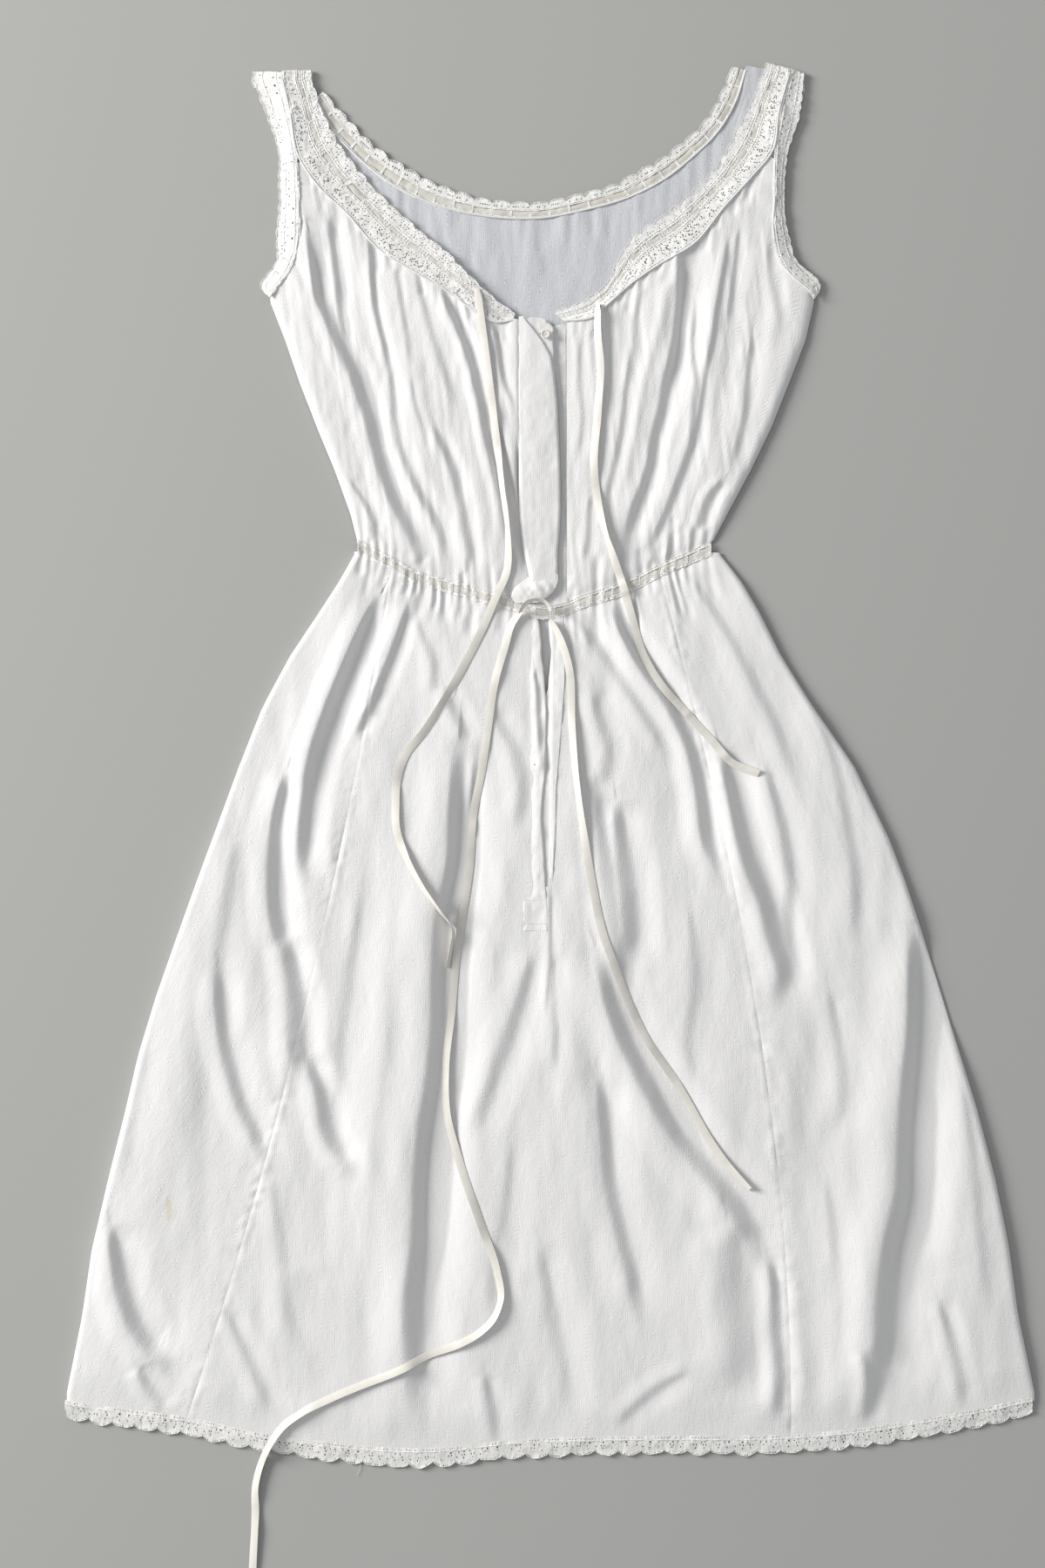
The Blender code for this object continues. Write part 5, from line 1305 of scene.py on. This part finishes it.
def makeBands():
    overRight = edgeLine("button_band_over", 1, 153.5, 358, 1)
    overLeft = edgeLine("button_band_over", 1, 153.5, 358, 0)
    intoFold = lambda x, y: smooth((x - bandLeft(y) + 1.5) / 3.8)
    beside = lambda x, y: mix(5.9, 6.6, smooth((x - bandLeft(y) + 2.2) / 14.0))
    overHeight = lambda x, y: (
        mix(mix(3.4, 6.0, intoFold(x, y)), beside(x, y), smooth((y - 200) / 90))
        + 0.25 * np.sin((x + 20) / 8.0)
    )
    lowLeft = lambda y: np.maximum(overLeft(y), bandLeft(y) - 1.0)
    lowRight = lambda y: np.where(y < 172, 7.0, overRight(y))
    bandPiece(
        "band_cloth_over", lowLeft, lowRight, 146.5, 358.5, overHeight, 130, 30, "button_band_over",
        rims=(0.1, 1.3),
    )
    # the rounded top end of the under band, with the button on it, stands off the rest
    lobeEdge = lambda y: np.interp(y, (300, 330, 341, 348, 352, 356), (3.6, 3.6, 3.0, 4.0, 2.0, -3.0))
    lobe = lambda x, y: smooth((y - 290) / 30) * smooth((lobeEdge(y) - x) / 0.9 + 1)
    underHeight = lambda x, y: 2.3 + 2.9 * lobe(x, y)
    topX, topY = (-20, -15, -7, 0.3, 3.8, 5.5, 15.4), (355, 358, 357.6, 354.5, 350.5, 352, 353)
    underTop = lambda u: np.interp(35.4 * u - 20, topX, topY)
    bandPiece(
        "band_cloth_under", lambda y: np.interp(y, (335, 350), (-14, -20)), lambda y: 15.4 + 0 * y,
        125, underTop, underHeight, 150, 46, "button_band_under", rims=(0.2, 0.15), hole=(-7.2, 345.1),
    )
    skirtRight = edgeLine("skirt_band_over", 1, -134, 117, 1)
    uneven = lambda y, seed: (
        0.9 * softNoise(y, 0 * y, 17, 1, seed) + 0.4 * softNoise(y, 0 * y, 6, 1, seed + 1)
    )
    button = lambda x, y: 1.3 * np.exp(-((np.hypot(x + 7, y + 1) / 4.6) ** 2))
    closed = lambda y: smooth((-104 - y) / 6)
    rise = lambda x, y: mix(mix(-0.9, 0.9, smooth((x + 20) / 12)), 0.16, closed(y))
    bandPiece(
        "slit_cloth_over", lambda y: -21.5 + uneven(y, 71), lambda y: skirtRight(y) + 0.6 * uneven(y, 73),
        -134, 119, lambda x, y: skirtHeight(x, y) + rise(x, y) + button(x, y), 190, 24, "skirt_band_over",
        wave=0.45, rims=(0.15, 0.9), hole=(-11.4, -1.4),
    )
    # the under strip of the slit shows at its top, and lies under the other strip from there down
    leftY, leftX = (-103, 44, 55, 60, 74, 91, 117), (-8, -8, -3, -0.8, 0.6, 1.7, -0.6)
    rightY, rightX = (-103, -87, -58, -19, 0, 30, 69, 117), (2.6, 3.4, 5.2, 6.2, 7.6, 10.2, 12.8, 11.5)
    underLeft = lambda y: np.interp(y, leftY, leftX) + 0.4 * uneven(y, 75)
    underRight = lambda y: np.interp(y, rightY, rightX)
    bandPiece(
        "slit_cloth_under", underLeft, underRight, -103, 118,
        lambda x, y: skirtHeight(x, y) + mix(-0.7, 0.4, smooth((x + 1) / 4.5)), 160, 22, "skirt_band_under",
        wave=0.3, rims=(0.9, 0.2),
    )


def makeTab():
    low = np.array(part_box("band_tab"))[0] / mm
    # its outline by rows: how high, and where its left and right edges are
    rows = np.array((
        (152, -14, 6.9), (147.4, -20, 7.2), (141.7, -27.3, 5.9), (137, -30, 2.8), (133.5, -30.4, -1.5),
        (129, -27, -9),
    ))
    v = np.linspace(0, 1, 40)
    marks = np.linspace(0, 1, len(rows))
    y, left, right = (np.interp(v, marks, rows[:, k])[:, None] for k in range(3))
    u = np.linspace(0, 1, 44)[None]
    x = mix(left, right, u)
    y = y + 0 * u
    down = v[:, None]
    bulge = 0.5 * smooth(down * 2.2) + 0.47 * smooth(down * 2 - 1)
    puff = (np.sin(math.pi * (0.04 + 0.92 * u)) * np.sin(math.pi * bulge)) ** 0.62
    start = mix(3.0, 5.7, smooth((x + 17) / 7))
    full = mix(low[2] + 0.3, low[2] + 2.9, puff)
    soft = 0.7 * softNoise(x + 0.6 * y, y, 5, 11, 51) + 0.3 * softNoise(x, y, 3, 4, 52)
    z = mix(start, full, smooth(down * 1.9)) + soft * puff * smooth(down * 2.2)
    piece = clothPiece("tab_cloth", x, y, z, x, y, bandCotton)
    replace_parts(piece, "band_tab")


# Free ribbon ends: the satin's width, half its thickness and how far it bows across, and how high it
# lies over the thicker places, in millimetres
satinRibbon = {"width": 6.35, "halfThick": 0.09, "bow": 0.22}
ribbonRest = {"band": 7.2, "waist": 6.2, "tab": 9.2, "hemSewn": 5.0, "hemFree": 2.2}
# Their routes over the front, in metres
tieRoutes = {
    "neck_left": (
        (-0.058, 0.381), (-0.050, 0.322), (-0.043, 0.266), (-0.038, 0.224), (-0.033, 0.182), (-0.034, 0.154),
        (-0.043, 0.133), (-0.053, 0.109), (-0.073, 0.070), (-0.087, 0.046), (-0.100, 0.026), (-0.115, 0.007),
        (-0.122, -0.014), (-0.123, -0.033), (-0.122, -0.054), (-0.115, -0.074), (-0.102, -0.098),
        (-0.087, -0.119), (-0.077, -0.134), (-0.078, -0.148), (-0.081, -0.164),
    ),
    "neck_right": (
        (0.039, 0.369), (0.039, 0.343), (0.041, 0.322), (0.039, 0.280), (0.036, 0.238), (0.042, 0.196),
        (0.051, 0.167), (0.059, 0.143), (0.067, 0.116), (0.075, 0.089), (0.090, 0.063), (0.109, 0.042),
        (0.130, 0.019), (0.148, 0.000), (0.160, -0.005), (0.168, -0.008),
    ),
    "waist_left": (
        (-0.022, 0.122), (-0.028, 0.115), (-0.036, 0.092), (-0.044, 0.063), (-0.049, 0.029), (-0.054, -0.005),
        (-0.061, -0.042), (-0.064, -0.084), (-0.070, -0.126), (-0.075, -0.161), (-0.078, -0.196),
        (-0.083, -0.245), (-0.082, -0.280), (-0.071, -0.322), (-0.054, -0.371), (-0.042, -0.406),
        (-0.039, -0.430), (-0.045, -0.445), (-0.056, -0.456), (-0.072, -0.465), (-0.096, -0.474),
        (-0.125, -0.488), (-0.155, -0.500), (-0.176, -0.509), (-0.198, -0.520), (-0.214, -0.532),
        (-0.224, -0.546), (-0.231, -0.561), (-0.236, -0.581), (-0.236, -0.600), (-0.238, -0.644),
        (-0.239, -0.668),
    ),
    "waist_right": (
        (0.001, 0.116), (0.009, 0.100), (0.016, 0.076), (0.018, 0.035), (0.021, -0.005), (0.024, -0.030),
        (0.028, -0.058), (0.035, -0.098), (0.044, -0.139), (0.051, -0.158), (0.060, -0.182), (0.076, -0.217),
        (0.104, -0.259), (0.116, -0.280), (0.128, -0.301), (0.143, -0.322), (0.161, -0.341),
    ),
}
# How far each ribbon is turned about its own length, by the share of its length
tieTurns = {
    "neck_left": (
        (0, 10), (0.2, 20), (0.33, 60), (0.4, 15), (0.6, -25), (0.8, 20), (0.93, 70), (0.95, 110),
        (1, 150),
    ),
    "neck_right": (
        (0, 50), (0.1, 25), (0.35, 10), (0.45, 60), (0.5, 20), (0.8, -15), (1, 30),
    ),
    "waist_left": (
        (0, 40), (0.06, 10), (0.3, -12), (0.42, 30), (0.55, -20), (0.62, 45), (0.7, 10),
        (0.85, 35), (1, 5),
    ),
    "waist_right": (
        (0, 50), (0.1, 15), (0.3, 40), (0.42, 5), (0.7, -15), (0.95, 25), (1, 60),
    ),
}


def clothTop(x, y):
    # what a ribbon lies on, in millimetres of the drawing
    onSkirt = skirtHeight(x, y)
    onBodice = bodiceHeight(x, y)
    waist = waistLow(x)
    height = np.where(y > waist + 4, onBodice, onSkirt)
    band = (x > -25) & (x < 9) & (y > 152)
    height = np.where(band, np.maximum(height, ribbonRest["band"]), height)
    height = np.where((y > waist - 1) & (y < waist + 10), np.maximum(height, ribbonRest["waist"]), height)
    tab = (x > -28) & (x < 5) & (y > 128) & (y <= 151)
    height = np.where(tab, np.maximum(height, ribbonRest["tab"]), height)
    hem = hemTop(x)
    onHem = mix(ribbonRest["hemSewn"], ribbonRest["hemFree"], np.clip((hem - y) / laceWidths["hem"], 0, 1))
    height = np.where(y < hem, onHem, height)
    return np.where(y < hem - 15, 0.0, height)


def layRibbon(name, route, turns, seed, onTop=None):
    at, length = curveThrough(np.array(route) / mm)
    count = int(length / 2.0)
    stations = np.linspace(0, length, count)
    centre = at(stations)
    ahead = np.gradient(centre, axis=0)
    ahead /= np.linalg.norm(ahead, axis=1, keepdims=True)
    side = np.stack([-ahead[:, 1], ahead[:, 0]], axis=1)
    reaches = np.linspace(-0.5, 0.5, 5) * satinRibbon["width"]
    below = np.max([clothTop(*(centre + side * reach).T) for reach in reaches], axis=0)
    kernel = np.hanning(13)
    padded = np.pad(below, 6, mode="edge")
    rest = np.maximum(np.convolve(padded, kernel / kernel.sum(), "valid"), below)
    rest = np.where(below <= 0.01, np.maximum(rest * 0.4, 0.0), rest)
    share = stations / length
    turn = np.radians(np.interp(share, [t[0] for t in turns], [t[1] for t in turns]))
    turn = turn + 0.15 * softNoise(stations, 0 * stations, 18, 1, seed)
    half = satinRibbon["width"] / 2 * mix(0.6, 1.0, smooth(stations / 9))
    across = np.linspace(-1, 1, 7)
    lift = half * np.abs(np.sin(turn)) + 0.45
    if onTop is not None:
        lift = lift + onTop(centre)
    middle = np.column_stack([centre, rest + lift])
    ring = []
    thick = satinRibbon["halfThick"]
    for offset, up in [(a, thick) for a in across] + [(a, -thick) for a in across[::-1]]:
        curl = satinRibbon["bow"] * (1 - offset**2)
        sideways = offset * half * np.cos(turn) - (up + curl) * np.sin(turn)
        upward = offset * half * np.sin(turn) + (up + curl) * np.cos(turn)
        ring.append(np.column_stack([centre + side * sideways[:, None], middle[:, 2] + upward]))
    ring = np.stack(ring, axis=1)
    rings, sides = ring.shape[:2]
    i, k = np.meshgrid(np.arange(rings - 1), np.arange(sides), indexing="ij")
    a, b = i * sides + k, i * sides + (k + 1) % sides
    faces = np.stack([a, b, b + sides, a + sides], axis=-1).reshape(-1, 4)
    u = np.tile(np.concatenate([across, across[::-1]]) * satinRibbon["width"] / 2, (rings, 1))
    v = np.tile(stations[:, None], (1, sides))
    cut = np.stack([u, v], axis=-1).reshape(-1, 2) * mm
    piece = makePiece(name, ring.reshape(-1, 3), faces, satin, "ribbon", cut, 50)
    path = middle + np.array((*drawingShift, 0.0))
    return piece, path * mm, length


def makeTies():
    crossing = np.array((-76.0, -136.0))
    over = lambda centre: 1.6 * np.exp(-((np.hypot(*(centre - crossing).T) / 9.0) ** 2))
    for seed, (where, route) in enumerate(tieRoutes.items()):
        hump = over if where == "neck_left" else None
        piece, path, length = layRibbon("ribbon_end_" + where, route, tieTurns[where], 60 + seed, hump)
        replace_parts(piece, "tie_" + where)
    loop = ((-0.024, 0.120), (-0.020, 0.127), (-0.011, 0.131), (-0.003, 0.129), (0.001, 0.122))
    piece, path, length = layRibbon("waist_ribbon_loop", loop, ((0, 60), (0.5, 75), (1, 60)), 71)
    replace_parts(piece, "ribbon_loop")


# Sewing and buttons: the threads' radius, and a stitch's length with its gap
sewing = {"stitch": 0.17, "step": 2.3, "gap": 0.7, "binding": 0.95, "loose": 0.2, "button": 0.22}


def stitchRow(points, height):
    step, gap = sewing["step"], sewing["gap"]
    at, length = curveThrough(points)
    starts = np.arange(0, length - step, step)
    along = at((starts[:, None] + np.linspace(0, step - gap, 3)).ravel())
    z = height(along[:, 0], along[:, 1]) + np.tile((0.0, 0.14, 0.0), len(starts))
    return list(np.column_stack([along, z]).reshape(len(starts), 3, 3))


def makeStitches():
    lines = []
    onUnder = lambda x, y: 2.6 + 0 * x
    onSlit = lambda x, y: skirtHeight(x, y) + 0.32
    lines += stitchRow(((13.1, 348), (12.9, 250), (13.2, 136)), onUnder)
    lines += stitchRow(((-20.5, -109), (-10, -109.5), (-1.5, -109)), onSlit)
    lines += stitchRow(((-20.5, -128), (-10, -128.5), (-1.5, -128)), onSlit)
    onUnderSlit = lambda x, y: skirtHeight(x, y) + 0.75
    route = ((11.0, 112), (12.2, 69), (9.6, 30), (6.8, 0), (5.0, -19), (3.9, -58), (2.1, -87))
    lines += stitchRow(route, onUnderSlit)
    threadPiece("stitches", lines, sewing["stitch"])


def makeBindings():
    # the narrow turned cloth between each panel and its lace
    lines = []
    onNeck = lambda x, y: np.maximum(bodiceHeight(x, y), frontLaceHeight(x, y, 0.0)) + 0.5
    onArmhole = lambda x, y: np.maximum(bodiceHeight(x, y), armholeHeight(x, y, 0.0)) + 0.3
    onBack = lambda x, y: 2.3 + 0 * x
    for rows, height in (
        (neckLaceLeft, onNeck), (neckLaceRight, onNeck), (armholeLeft, onArmhole),
        (armholeRight, onArmhole), (neckLaceBack, onBack),
    ):
        line = sewnLine(rows, 0.0, len(rows) - 1, 240)
        z = height(line[:, 0], line[:, 1]) + 0.2 * softNoise(line[:, 0], line[:, 1], 4, 4, 91)
        kernel = np.hanning(9) / np.hanning(9).sum()
        z = np.convolve(np.pad(z, 4, mode="edge"), kernel, "valid")
        lines.append(np.column_stack([line, z]))
    threadPiece("neck_bindings", lines, sewing["binding"], sides=6, flatness=0.4)


def makeLooseThreads():
    hem = arc(-156.5, -560.5, 5.0, 12.0, 0, -70, 9)
    strap = arc(149.0, 556.5, 3.4, 2.6, -30, 210, 12)
    lines = [np.column_stack([line, np.full(len(line), high)]) for line, high in ((hem, 0.7), (strap, 1.6))]
    threadPiece("loose_threads", lines, sewing["loose"])


# A button by shares of its radius and heights, from its dished middle over the rim to its underside
buttonForm = {
    "profile": (
        (0.02, 1.05), (0.3, 1.05), (0.52, 1.1), (0.62, 1.35), (0.75, 1.6), (0.88, 1.55), (0.97, 1.25),
        (1.0, 0.8), (0.93, 0.3), (0.7, 0.05),
    ),
    "sides": 40,
    "holeAside": 0.95,
    "holeRadius": 0.5,
}


def makeButton(where, x, y, height):
    low, high = np.array(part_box("button_" + where)) / mm
    radius = (high[0] - low[0]) / 2
    profile, sides = buttonForm["profile"], buttonForm["sides"]
    angle = 2 * math.pi * np.arange(sides) / sides
    points, faces = [], []
    for share, up in profile:
        outward = share * radius
        for turn in angle:
            points.append((x + outward * np.cos(turn), y + outward * np.sin(turn), height + up))
    for i in range(len(profile) - 1):
        for k in range(sides):
            a, b = i * sides + k, i * sides + (k + 1) % sides
            faces.append((a, a + sides, b + sides, b))
    piece = makePiece("button_disc_" + where, points, faces, shell, "button")
    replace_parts(piece, "button_" + where)
    aside, wide = buttonForm["holeAside"], buttonForm["holeRadius"]
    holes = [arc(x + dx, y, wide, wide, 0, 360, 9) for dx in (-aside, aside)]
    lines = [np.column_stack([hole, np.full(len(hole), height + 1.12)]) for hole in holes]
    stitch = ((x - aside, y, height + 1.1), (x, y + 0.2, height + 1.45), (x + aside, y, height + 1.1))
    lines.append(np.array(stitch))
    threadPiece("button_thread_" + where, lines, sewing["button"])


neckSpots = np.linspace(2.6, 9.6, 19)


def neckGathersOf(rows, seed):
    # the fronts are drawn into the neck lace in small gathers
    chance = np.random.RandomState(seed)
    strip = Strip(rows, flatHeight)
    made = []
    for spot in neckSpots + chance.uniform(-0.12, 0.12, len(neckSpots)):
        k = int(np.clip(spot / (len(rows) - 1), 0, 0.995) * (len(strip.sewn) - 1))
        start = strip.sewn[k]
        aim = np.array((start[0] * 0.62 - 4, 165.0))
        away = (aim - start) / np.linalg.norm(aim - start)
        long = gather["neckReach"] * chance.uniform(0.5, 1.7)
        bend = np.array((away[1], -away[0])) * chance.uniform(-1.5, 1.5)
        points = (start - away * 3, start + away * long * 0.5 + bend, start + away * long)
        deep = -gather["neckDepth"] * chance.uniform(0.5, 1.3)
        made.append((deep, gather["neckWidth"] * chance.uniform(0.8, 1.3), points))
    return made


neckGathers = tuple(neckGathersOf(neckLaceLeft, 17) + neckGathersOf(neckLaceRight, 18))

makeTies()
print("ribbon ends ready")
makeSkirtFront()
makeSkirtSide("left", seamLeft, sideLeft, -1)
makeSkirtSide("right", seamRight, sideRight, 1)
makeSkirtBack()
makeBodiceFront("left", neckLaceLeft, armholeLeft, -25.4, bodiceLeft)
makeBodiceFront("right", neckLaceRight, armholeRight, 14.3, bodiceRight)
makeBodiceBack()
makeBands()
makeTab()
print("cloth ready")
makeNeckLaces()
makeArmholeLaces()
makeHemLace()
makeWaist()
print("lace ready")
makeButton("neck", -3.0, 344.0, 7.2)
makeButton("skirt", -7.0, -1.0, float(skirtHeight(np.array([-7.0]), np.array([-1.0]))[0]) - 0.3)
makeStitches()
makeBindings()
makeLooseThreads()
print("sewing ready")

# How each panel is held, the part of its fullness that is in gathers too fine to model, what it lies
# on and what is sewn to it
sheets = {
    "skirt_cloth_front": (
        "gathered", 1.12, ["skirt_cloth_back"], ["hem_net_front", "waist_net_left", "waist_net_right"],
    ),
    "skirt_cloth_left": ("gathered", 1.08, ["skirt_cloth_back"], []),
    "skirt_cloth_right": ("gathered", 1.08, ["skirt_cloth_back"], []),
    "skirt_cloth_back": ("gathered", 1.12, [], ["hem_net_back", "waist_net_back"]),
    "bodice_cloth_left": (
        "gathered", 1.15, ["bodice_cloth_back"], ["neck_net_left", "armhole_net_front_left"],
    ),
    "bodice_cloth_right": (
        "gathered", 1.15, ["bodice_cloth_back"], ["neck_net_right", "armhole_net_front_right"],
    ),
    "bodice_cloth_back": (
        "gathered", 1.1, [], ["neck_net_back", "armhole_net_back_left", "armhole_net_back_right"],
    ),
    "band_cloth_over": ("laid", 1.0, ["band_cloth_under"], []),
    "band_cloth_under": ("laid", 1.0, ["bodice_cloth_back"], []),
    "tab_cloth": ("folded", 1.0, ["waist_net_left"], []),
    "slit_cloth_over": ("laid", 1.0, ["skirt_cloth_front"], []),
    "slit_cloth_under": ("laid", 1.0, ["skirt_cloth_front"], []),
}
for name, (held, fullness, restsOn, sewnOn) in sheets.items():
    width, length, area = cutSizes[name]
    width, area = width * fullness, area * fullness
    print("cut of", name, round(width, 3), "by", round(length, 3), "area", round(area, 4))

total = 0
for item in bpy.data.objects:
    if item.type == "MESH" and not item.hide_render:
        total += sum(len(face.vertices) - 2 for face in item.data.polygons)
print("triangles", total)

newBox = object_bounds()
{"cad": [list(corner) for corner in cadBox], "visual": [list(corner) for corner in newBox]}
